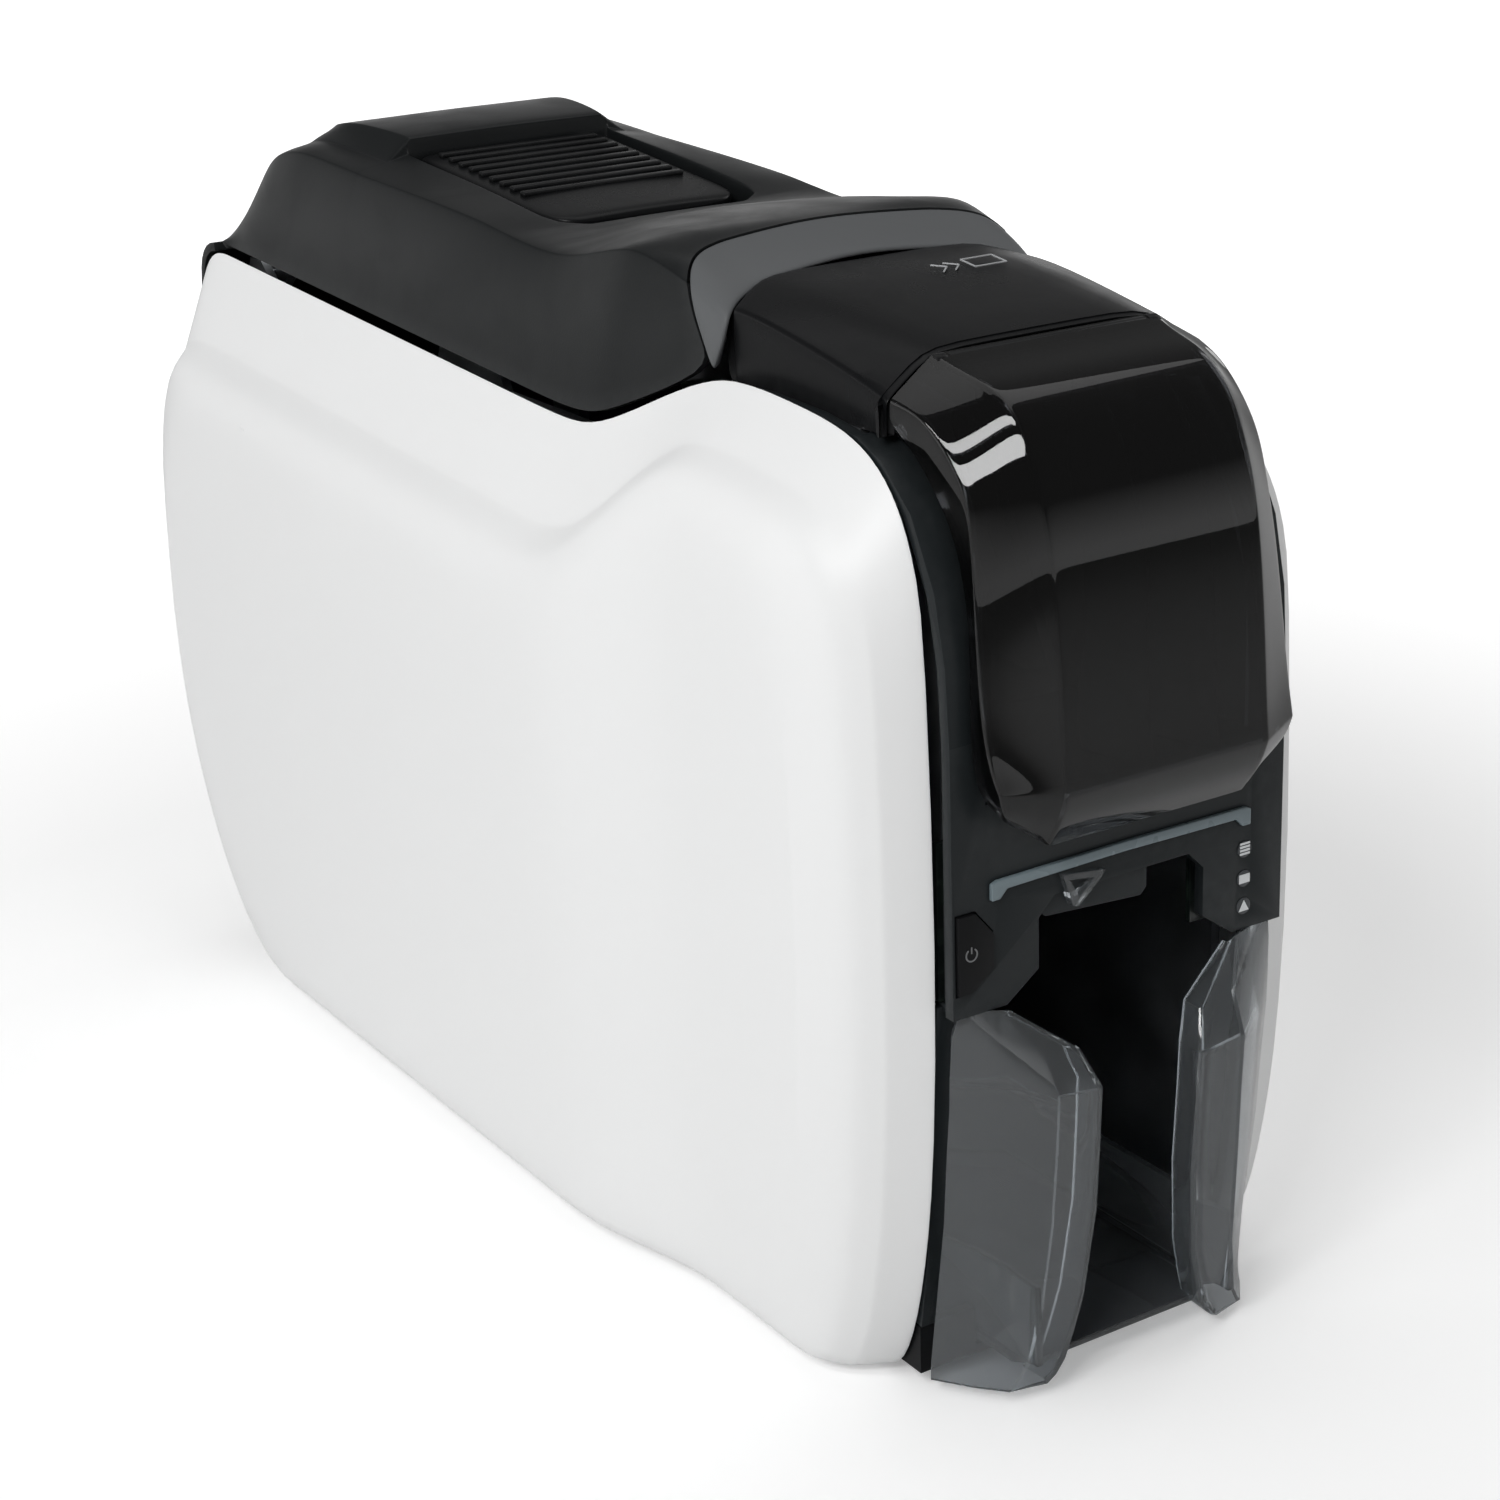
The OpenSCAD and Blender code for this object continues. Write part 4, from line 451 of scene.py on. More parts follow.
class Wiring:
    """Adds and feeds the nodes of one shader tree."""

    def __init__(self, tree: bpy.types.NodeTree) -> None:
        """Starts on a tree, with its main shader where it has one."""
        self.tree = tree
        self.shader = tree.nodes.get("Principled BSDF")

    def feed(self, target: bpy.types.NodeSocket, value: object) -> None:
        """Joins an output to an input, or gives the input a plain value.

        Args:
            target: The input.
            value: An output, a number, a vector, or a colour without its alpha.
        """
        if isinstance(value, bpy.types.NodeSocket):
            self.tree.links.new(value, target)
        else:
            target.default_value = (*value, 1) if target.type == "RGBA" else value

    def add(self, kind: str, *feeds: object, **values: object) -> bpy.types.Node:
        """Adds a node, sets its properties and feeds its inputs.

        Args:
            kind: The node's type.
            feeds: What its first inputs get, in order.
            values: Properties, or inputs with _ for a space in their names.

        Returns:
            The new node.
        """
        node = self.tree.nodes.new(kind)
        for key, value in values.items():
            if hasattr(node, key):
                setattr(node, key, value)
            else:
                self.feed(node.inputs[key.replace("_", " ")], value)
        for target, value in zip(node.inputs, feeds):
            self.feed(target, value)
        return node

    def give(self, **values: object) -> None:
        """Feeds inputs of the main shader, named with _ for a space."""
        for key, value in values.items():
            self.feed(self.shader.inputs[key.replace("_", " ")], value)

    def object_point(self) -> bpy.types.NodeSocket:
        """Gives the coordinates in the object, from the tree's one node for them."""
        node = self.tree.nodes.get("Texture Coordinate") or self.add("ShaderNodeTexCoord")
        return node.outputs["Object"]

    def effect(self, effect: Effect, scale: float) -> bpy.types.Node:
        """Places a shared effect at a scale per metre."""
        return self.add("ShaderNodeGroup", node_tree=effect_tree(effect), Scale=scale,
                        Vector=self.object_point())

    def tint(self, share: bpy.types.NodeSocket, low: object, high: Colour) -> bpy.types.NodeSocket:
        """Mixes two colours by a share.

        Args:
            share: The share of the second colour.
            low: The first colour, or the output that gives it.
            high: The second colour.

        Returns:
            The colour's output.
        """
        node = self.add("ShaderNodeMix", share, data_type="RGBA")
        first, second = [socket for socket in node.inputs if socket.type == "RGBA"]
        self.feed(first, low)
        self.feed(second, high)
        return next(socket for socket in node.outputs if socket.type == "RGBA")

    def spread(self, share: bpy.types.NodeSocket, low: float, high: float) -> bpy.types.NodeSocket:
        """Maps a share from 0 to 1 onto two values."""
        return self.add("ShaderNodeMapRange", To_Min=low, To_Max=high,
                        Value=share).outputs["Result"]

    def relief(self, height: bpy.types.NodeSocket, strength: float, depth: float) -> None:
        """Feeds a height into the main shader's normal, with its strength and depth in metres."""
        bump = self.add("ShaderNodeBump", Strength=strength, Distance=depth, Height=height)
        self.give(Normal=bump.outputs["Normal"])


def effect_outputs(effect: Effect, wiring: Wiring, where: bpy.types.NodeSocket,
                   scale: bpy.types.NodeSocket) -> tuple[bpy.types.NodeSocket,
                                                         bpy.types.NodeSocket]:
    """Adds the nodes of one effect.

    Args:
        effect: Which effect.
        wiring: The group's tree.
        where: The coordinates.
        scale: The scale.

    Returns:
        The outputs with its height and its mask.
    """
    noise = "ShaderNodeTexNoise"
    if effect is Effect.GRAIN:
        pits = wiring.add("ShaderNodeTexVoronoi", feature="SMOOTH_F1", Randomness=1.0,
                          Vector=where, Scale=scale)
        cloud = wiring.add(noise, Detail=3.0, Roughness=0.55, Vector=where, Scale=scale)
        slow = wiring.add(noise, Scale=Scale.slow_clouds, Detail=2.0, Vector=where)
        blend = wiring.add("ShaderNodeMath", pits.outputs["Distance"], 0.6, cloud.outputs["Fac"],
                           operation="MULTIPLY_ADD")
        return blend.outputs[0], slow.outputs["Fac"]
    if effect is Effect.HANDLING:
        smears = wiring.add(noise, Detail=4.0, Roughness=0.6, Distortion=0.8, Vector=where,
                            Scale=scale).outputs["Fac"]
        clip = wiring.add("ShaderNodeMapRange", From_Min=0.42, From_Max=0.72, Value=smears)
        return smears, clip.outputs["Result"]
    if effect is Effect.LAY:
        stretch = wiring.add("ShaderNodeMapping", vector_type="POINT", Scale=(0.02, 1.0, 1.0),
                             Vector=where)
        lines = wiring.add(noise, Detail=2.0, Roughness=0.7, Vector=stretch.outputs["Vector"],
                           Scale=scale).outputs["Fac"]
        return lines, lines
    # Last effect: paler convex edges, a painted edge highlight with some wear.
    point = wiring.add("ShaderNodeNewGeometry")
    rough = wiring.add(noise, Detail=3.0, Vector=where, Scale=scale).outputs["Fac"]
    edge = wiring.add("ShaderNodeMapRange", From_Min=0.52, From_Max=0.62,
                      Value=point.outputs["Pointiness"])
    both = wiring.add("ShaderNodeMath", edge.outputs["Result"], rough, operation="MULTIPLY")
    return rough, both.outputs[0]


def effect_tree(effect: Effect) -> bpy.types.NodeTree:
    """Gives an effect's node group, and builds it the first time.

    Args:
        effect: Which effect.

    Returns:
        The node group.
    """
    made = bpy.data.node_groups.get(effect.value)
    if made is not None:
        return made
    tree = bpy.data.node_groups.new(effect.value, "ShaderNodeTree")
    face = tree.interface
    face.new_socket(name="Vector", in_out="INPUT", socket_type="NodeSocketVector")
    scale = face.new_socket(name="Scale", in_out="INPUT", socket_type="NodeSocketFloat")
    scale.default_value = 1000.0
    for name in ("Height", "Mask"):
        face.new_socket(name=name, in_out="OUTPUT", socket_type="NodeSocketFloat")
    wiring = Wiring(tree)
    start = wiring.add("NodeGroupInput")
    wiring.add("NodeGroupOutput", *effect_outputs(effect, wiring, *start.outputs[:2]))
    return tree


@dataclass(frozen=True)
class Finish:
    """What every finish has: a name, two close colours and a roughness that varies a little."""

    name: str
    colour: Colour
    rough: float
    mottle: float = 0.05
    rough_spread: float = 0.05

    def material(self) -> bpy.types.Material:
        """Gives the finish's material, and builds it the first time.

        Returns:
            The material.
        """
        made = bpy.data.materials.get(self.name)
        if made is None:
            made = bpy.data.materials.new(self.name)
            made.use_nodes = True
            self.wire(Wiring(made.node_tree))
            made.diffuse_color = (*self.colour, 1)
        return made

    def shades(self) -> tuple[Colour, Colour]:
        """Gives the darker and the lighter shade of the colour.

        Returns:
            Both shades.
        """
        low = tuple(c * (1 - self.mottle) for c in self.colour)
        high = tuple(min(c * (1 + self.mottle), 1.0) for c in self.colour)
        return low, high

    def wire(self, wiring: Wiring) -> None:
        """Wires the colour's mottling and the marks of handling in the roughness.

        Args:
            wiring: The material's tree.
        """
        grain = wiring.effect(Effect.GRAIN, Scale.clouds)
        marks = wiring.effect(Effect.HANDLING, Scale.handling)
        low, high = self.rough - self.rough_spread, self.rough + self.rough_spread
        wiring.give(Base_Color=wiring.tint(grain.outputs["Mask"], *self.shades()),
                    Roughness=wiring.spread(marks.outputs["Mask"], low, high))

    def dress(self, *pieces: Piece) -> None:
        """Puts the finish on whole pieces.

        Args:
            pieces: The pieces.
        """
        for piece in pieces:
            piece.data.materials.clear()
            piece.data.materials.append(self.material())


@dataclass(frozen=True)
class MouldedPlastic(Finish):
    """Moulded plastic with a spark-eroded grain."""

    grain: float = 2400.0
    depth: float = 0.00003
    gloss: float = 0.5
    # lightening of convex edges: a painted edge highlight, with some wear
    edge_sheen_and_wear: float = 0.0

    def wire(self, wiring: Wiring) -> None:
        """Wires the grain, and paler edges: a painted edge highlight that also stands for handling
        wear.

        Args:
            wiring: The material's tree.
        """
        super().wire(wiring)
        wiring.give(Specular_IOR_Level=self.gloss)
        wiring.relief(wiring.effect(Effect.GRAIN, self.grain).outputs["Height"], 0.5, self.depth)
        # paler edges: painted edge highlight, with some handling wear
        if self.edge_sheen_and_wear > 0:
            edges = wiring.effect(Effect.EDGES, Scale.edge_highlight_and_wear)
            plain = wiring.shader.inputs["Base Color"].links[0].from_socket
            highlit_worn_colour = tuple(min(c * (1 + self.edge_sheen_and_wear) + 0.02, 1) for c in self.colour)
            wiring.give(Base_Color=wiring.tint(edges.outputs["Mask"], plain, highlit_worn_colour))


@dataclass(frozen=True)
class ClearPlastic(Finish):
    """Polished clear plastic, tinted or plain, with a little body colour where it is milky."""

    index: float = 1.49
    clearness: float = 1.0
    gloss: float = 0.5

    def wire(self, wiring: Wiring) -> None:
        """Wires the tint, the clearness and the hairline scratches that dull the polish.

        Args:
            wiring: The material's tree.
        """
        super().wire(wiring)
        scratches = wiring.effect(Effect.LAY, Scale.scratches)
        rough = wiring.spread(scratches.outputs["Mask"], self.rough, self.rough + self.rough_spread)
        wiring.give(IOR=self.index, Transmission_Weight=self.clearness,
                    Specular_IOR_Level=self.gloss, Roughness=rough)


@dataclass(frozen=True)
class LensPlastic(Finish):
    """Milky plastic that spreads the light of the lamps behind it."""

    glow: float = 0.0

    def wire(self, wiring: Wiring) -> None:
        """Wires the colour, a soft glow and a light frosting.

        Args:
            wiring: The material's tree.
        """
        super().wire(wiring)
        wiring.give(Subsurface_Weight=0.3, Subsurface_Radius=(0.002, 0.002, 0.002),
                    Emission_Color=self.colour, Emission_Strength=self.glow)
        wiring.relief(wiring.effect(Effect.GRAIN, Scale.frost).outputs["Height"], 0.2, 0.00002)


@dataclass(frozen=True)
class Metal(Finish):
    """Bare or plated metal with the lines of its making."""

    lines: float = 3000.0

    def wire(self, wiring: Wiring) -> None:
        """Wires the lay lines into the relief.

        Args:
            wiring: The material's tree.
        """
        super().wire(wiring)
        wiring.give(Metallic=1.0)
        wiring.relief(wiring.effect(Effect.LAY, self.lines).outputs["Height"], 0.25, 0.00002)


@dataclass(frozen=True)
class Rubber(Finish):
    """Rubber with a fine ground surface."""

    def wire(self, wiring: Wiring) -> None:
        """Wires the ground surface.

        Args:
            wiring: The material's tree.
        """
        super().wire(wiring)
        wiring.give(Specular_IOR_Level=0.3)
        grain = wiring.effect(Effect.GRAIN, Scale.ground_rubber)
        wiring.relief(grain.outputs["Height"], 0.6, 0.00003)


@dataclass(frozen=True)
class CircuitBoard(Finish):
    """Solder mask over copper tracks."""

    track: Colour = (0.05, 0.3, 0.13)

    def wire(self, wiring: Wiring) -> None:
        """Wires a pattern of tracks under the mask.

        Args:
            wiring: The material's tree.
        """
        super().wire(wiring)
        cells = wiring.add("ShaderNodeTexVoronoi", distance="CHEBYCHEV", feature="F1",
                           Scale=Scale.tracks, Vector=wiring.object_point())
        line = wiring.add("ShaderNodeMapRange", From_Min=0.46, From_Max=0.5,
                          Value=cells.outputs["Distance"]).outputs["Result"]
        wiring.give(Base_Color=wiring.tint(line, self.colour, self.track), Coat_Weight=0.4)
        wiring.relief(line, 0.3, 0.00005)


@dataclass(frozen=True)
class WoundFilm(Finish):
    """Thin film wound on a core."""

    def wire(self, wiring: Wiring) -> None:
        """Wires fine bands along the film into the relief.

        Args:
            wiring: The material's tree.
        """
        super().wire(wiring)
        turns = wiring.add("ShaderNodeTexWave", wave_type="BANDS", bands_direction="Z",
                           Scale=Scale.turns, Distortion=1.5, Vector=wiring.object_point())
        wiring.relief(turns.outputs["Fac"], 0.2, 0.00003)


class Look:
    """Every finish of the printer."""

    panel = MouldedPlastic("panel_white", (0.87, 0.875, 0.875), 0.42, 0.008, 0.04, grain=2600.0,
                           depth=0.00001)
    # The dark finishes below lighten their edges: a painted edge highlight, with some wear.
    lid = MouldedPlastic("lid_charcoal", (0.010, 0.0112, 0.0118), 0.36, 0.08, 0.05, gloss=0.16,
                         edge_sheen_and_wear=0.2)
    band = MouldedPlastic("band_grey", (0.115, 0.120, 0.124), 0.42, 0.04, 0.04, gloss=0.15)
    pad = MouldedPlastic("pad_black", (0.007, 0.0074, 0.008), 0.32, 0.08, 0.06, gloss=0.14,
                         edge_sheen_and_wear=0.3)
    roof = MouldedPlastic("feeder_black", (0.006, 0.0063, 0.007), 0.32, 0.08, 0.05, gloss=0.12,
                          edge_sheen_and_wear=0.3)
    bezel = MouldedPlastic("bezel_charcoal", (0.0125, 0.0155, 0.017), 0.38, 0.08, 0.05, gloss=0.2,
                           edge_sheen_and_wear=0.2)
    black = MouldedPlastic("black_moulded", (0.007, 0.0073, 0.008), 0.45, 0.1, 0.06, gloss=0.12)
    grey = MouldedPlastic("dark_grey_plastic", (0.03, 0.032, 0.036), 0.45, 0.08, 0.06)
    white = MouldedPlastic("white_gear_plastic", (0.72, 0.72, 0.67), 0.4, 0.03, 0.05)
    print_white = MouldedPlastic("icon_white", (0.75, 0.77, 0.78), 0.5, 0.02, 0.04)
    print_grey = MouldedPlastic("icon_grey", (0.16, 0.165, 0.17), 0.5, 0.02, 0.04)
    print_silver = MouldedPlastic("icon_silver", (0.42, 0.43, 0.44), 0.5, 0.02, 0.04)
    smoke = ClearPlastic("smoke_tint", (0.05, 0.052, 0.056), 0.012, 0.02, 0.01, index=1.45)
    # paler than the cover's smoke tint: a painted highlight along the ribs
    smoke_rib_painted_highlight = ClearPlastic("smoke_rib_painted_highlight", (0.30, 0.31, 0.33), 0.05, 0.02, 0.03, clearness=0.9)
    clear = ClearPlastic("hopper_clear", (0.70, 0.74, 0.77), 0.04, 0.01, 0.03, clearness=0.94)
    lens = LensPlastic("light_lens", (0.17, 0.215, 0.235), 0.3, 0.03, 0.05, glow=0.02)
    window = LensPlastic("window_lens", (0.05, 0.055, 0.06), 0.2, 0.03, 0.04)
    steel = Metal("turned_steel", (0.60, 0.61, 0.63), 0.28, 0.05, 0.06)
    sheet = Metal("plated_sheet", (0.46, 0.48, 0.50), 0.42, 0.08, 0.08, lines=1200.0)
    brass = Metal("brass_gear", (0.62, 0.44, 0.17), 0.3, 0.06, 0.06)
    alloy = Metal("heat_sink_alloy", (0.55, 0.57, 0.59), 0.4, 0.05, 0.06, lines=1800.0)
    motor = Metal("motor_case", (0.20, 0.21, 0.22), 0.42, 0.06, 0.06, lines=900.0)
    contact = Metal("gilt_contact", (0.75, 0.55, 0.22), 0.25, 0.04, 0.05)
    foot = Rubber("foot_rubber", (0.014, 0.014, 0.014), 0.75, 0.15, 0.08)
    roller = Rubber("roller_rubber", (0.022, 0.023, 0.025), 0.62, 0.1, 0.06)
    tacky = Rubber("cleaning_rubber", (0.45, 0.05, 0.16), 0.3, 0.05, 0.05)
    belt = Rubber("belt_rubber", (0.012, 0.012, 0.013), 0.6, 0.1, 0.06)
    ceramic = MouldedPlastic("head_ceramic", (0.62, 0.57, 0.46), 0.25, 0.04, 0.04)
    dark_board = CircuitBoard("lamp_board", (0.006, 0.009, 0.008), 0.35, 0.05, 0.04,
                              track=(0.012, 0.018, 0.015))
    board = CircuitBoard("board_mask", (0.012, 0.11, 0.045), 0.3, 0.05, 0.04)
    film = WoundFilm("ribbon_film", (0.05, 0.012, 0.06), 0.2, 0.1, 0.05)


def place(piece: Piece, look: Finish, body: str, slot: str, *instead: str,
          smooth: float = 0.0) -> Piece:
    """Shades and dresses a piece, hands it to its moving body and hides the solids that it stands
    in for.

    Args:
        piece: The finished piece.
        look: Its finish.
        body: The body that it moves with.
        slot: Not used.
        instead: The solids that it is shown in place of.
        smooth: Edges up to this angle are shaded smooth; 0 leaves the shading alone.

    Returns:
        The same piece.
    """
    if smooth:
        Bench.shade(piece, smooth)
    look.dress(piece)
    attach(piece, body)
    if instead:
        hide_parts(*instead)
    LOG.info("%s: %d faces, on %s", piece.name, len(piece.data.polygons), body)
    return piece


# ---------------------------------------------------------------- panels


@dataclass
class PanelForm:
    """The curved outline that the side panels and the lid share, in millimetres."""

    rear_x: float = 58.0
    side_step: float = 9.5
    step_start: float = -50.0
    step_end: float = -105.0
    front_y: float = -178.5
    rear_y: float = 199.5
    base_z: float = 1.5
    crest_z: float = 233.0
    crest_run: float = 62.0
    dip_y: float = -34.0
    dip_z: float = 213.8
    rear_rise_y: float = 170.0
    rear_rise_z: float = 225.0
    front_fall: float = 4.5
    middle_z: float = 112.0
    dip_run: float = 10.0
    crest_lead: float = 12.0
    rear_run: float = 34.0
    foot_front: float = 21.0
    foot_rear: float = 62.0
    front_power: float = 4.5
    rear_power: float = 2.6
    foot_power: float = 1.9
    even_share: float = 0.3

    def stepped(self, y: float) -> float:
        """Gives the share of the side step that is done at y."""
        return ease((self.step_start - y) / (self.step_start - self.step_end))

    def rim_x(self, y: float) -> float:
        """Gives the rim's distance from the middle at y."""
        return self.rear_x - self.side_step * self.stepped(y)

    def rim_top(self, y: float) -> float:
        """Gives the height of the rim's top at y.

        Args:
            y: The place.

        Returns:
            The height.
        """
        if y > self.dip_y:
            slope = (self.rear_rise_z - self.dip_z) / (self.rear_rise_y - self.dip_y)
            return self.dip_z + slope * (y - self.dip_y)
        crest_y = self.front_y + self.crest_run
        rise_y = self.dip_y - self.dip_run
        run = rise_y - crest_y - self.crest_lead
        return self.dip_z + (self.crest_z - self.dip_z) * ease((rise_y - y) / run)

    @staticmethod
    def corner(u: float, power: float) -> float:
        """Gives the height of a rounded corner at u, from 0 at its flat end to 1."""
        return max(1 - min(max(u, 0.0), 1.0) ** power, 0.0) ** (1 / power)

    def top(self, y: float, ins: Sequence[float]) -> float:
        """Gives the upper edge at y of an outline drawn in by the insets.

        Args:
            y: The place.
            ins: The insets, as in ring.

        Returns:
            The height.
        """
        front, rear = self.front_y + ins[0], self.rear_y - ins[1]
        drop = mix(ins[3], ins[2], self.stepped(y))
        crest_y = self.front_y + self.crest_run
        if y < crest_y:
            u = (crest_y - y) / (crest_y - front)
            full = self.crest_z - self.front_fall * min(max(u, 0.0), 1.0) - drop
            return self.middle_z + (full - self.middle_z) * self.corner(u, self.front_power)
        if y > rear - self.rear_run:
            u = (y - rear + self.rear_run) / self.rear_run
            full = self.rim_top(y) - drop
            return self.middle_z + (full - self.middle_z) * self.corner(u, self.rear_power)
        return self.rim_top(y) - drop

    def low(self, y: float, ins: Sequence[float]) -> float:
        """Gives the lower edge at y of an outline drawn in by the insets.

        Args:
            y: The place.
            ins: The insets, as in ring.

        Returns:
            The height.
        """
        front, rear, foot = self.front_y + ins[0], self.rear_y - ins[1], self.base_z + ins[4]
        if y < front + self.foot_front:
            u = (front + self.foot_front - y) / self.foot_front
        elif y > rear - self.foot_rear:
            u = (y - rear + self.foot_rear) / self.foot_rear
        else:
            return foot
        return self.middle_z - (self.middle_z - foot) * self.corner(u, self.foot_power)

    def ring(self, out: float, ins: Sequence[float], count: int) -> list[Point]:
        """Gives the closed outline at a distance beyond the rim.

        Args:
            out: Distance beyond the rim.
            ins: Insets at the front, the rear, the top in front, the top behind and the bottom.
            count: Number of stations from front to rear.

        Returns:
            The outline's points, along the top to the rear and back along the bottom.
        """
        front, rear = self.front_y + ins[0], self.rear_y - ins[1]
        ys = [mix((front + rear) / 2 - (rear - front) / 2 * math.cos(math.pi * j / count),
                  front + (rear - front) * j / count, self.even_share) for j in range(count + 1)]
        over = [(self.rim_x(y) + out, y, self.top(y, ins)) for y in ys]
        under = [(self.rim_x(y) + out, y, self.low(y, ins)) for y in reversed(ys[1:-1])]
        return over + under


@dataclass
class SidePanels:
    """The two white side panels, each a deep shell with a bevelled rim."""

    form: PanelForm = field(default_factory=PanelForm)
    bevel_w: float = 10.3
    face_w: float = 21.0
    wall: float = 2.5
    count: int = 54
    post_radius: float = 3.5
    post_start: float = 44.6
    post_end_gap: float = 1.2
    posts: tuple[Pair, ...] = ((-128, 60), (-128, 185), (120, 60), (120, 180))

    def insets(self, share: float) -> tuple[float, ...]:
        """Gives the insets a share of the way from the rim over the crease to the face.

        Args:
            share: 0 at the rim, 1 at the crease, 2 at the soft edge, 3 at the face.

        Returns:
            The insets, as in ring.
        """
        rim = (0, 0, 0, 0, 0)
        crease = (5, 2, 13, 25, 0.5)
        soft = (11, 4, 18, 31, 2)
        face = (25, 14, 30, 43, 9)
        stops = (rim, crease, soft, face)
        k = min(int(share), 2)
        return tuple(mix(a, b, share - k) for a, b in zip(stops[k], stops[k + 1]))

    def reach(self, share: float) -> float:
        """Gives the distance beyond the rim for the same shares.

        Args:
            share: The share, as in insets.

        Returns:
            The distance.
        """
        stops = (0.0, self.bevel_w, mix(self.bevel_w, self.face_w, 0.62), self.face_w)
        k = min(int(share), 2)
        return mix(stops[k], stops[k + 1], share - k)

    def rows(self) -> list[list[Point]]:
        """Gives the rings from the middle of the inner face over the rim to that of the outer face.

        Returns:
            The rings.
        """
        inner = [self.form.ring(max(self.reach(share) - self.wall, 0.4),
                                [v + self.wall for v in self.insets(share)], self.count)
                 for share in (3.0, 2.0, 1.5, 1.0, 0.5)]
        lip = [self.form.ring(out, [inset] * 5, self.count) for out, inset in (
            (0.25, self.wall), (0, self.wall - 0.35), (0, 0.45), (0.15, 0.12))]
        outer = [self.form.ring(self.reach(share), self.insets(share), self.count)
                 for share in (0.05, 0.3, 0.7, 0.88, 0.96, 1.04, 1.14, 1.4, 1.75, 2.1, 2.6, 3.0)]
        return (self.toward_middle(inner[0], (1.0, 0.5)) + inner + lip + outer
                + self.toward_middle(outer[-1], (0.3, 0.65, 1.0)))

    def toward_middle(self, ring: Sequence[Point], shares: Iterable[float]) -> list[list[Point]]:
        """Draws a ring in towards the line along its middle height."""
        return [[(x, y, mix(z, self.form.middle_z, s)) for x, y, z in ring] for s in shares]

    def build(self) -> list[Piece]:
        """Builds both panels.

        Returns:
            The right and the left panel.
        """
        right = Bench.skin("side_panel_right", self.rows(), closed=True)
        Bench.soften(right, 1)
        Bench.outward(right)
        posts = []
        for i, (y, z) in enumerate(self.posts):
            end = self.form.rim_x(y) + self.face_w - self.post_end_gap
            posts.append(Bench.rod(f"panel_post_{i}", (self.post_start, y, z), (end, y, z),
                                   self.post_radius, 20))
        right = Bench.join([right, *posts])
        left = Bench.moved_copy(right, "side_panel_left", Matrix.Scale(-1, 4, (1, 0, 0)))
        return [place(right, Look.panel, "base", "white_panel", "right_side_panel", smooth=50),
                place(left, Look.panel, "base", "white_panel", "left_side_panel", smooth=50)]


# ---------------------------------------------------------------- lid


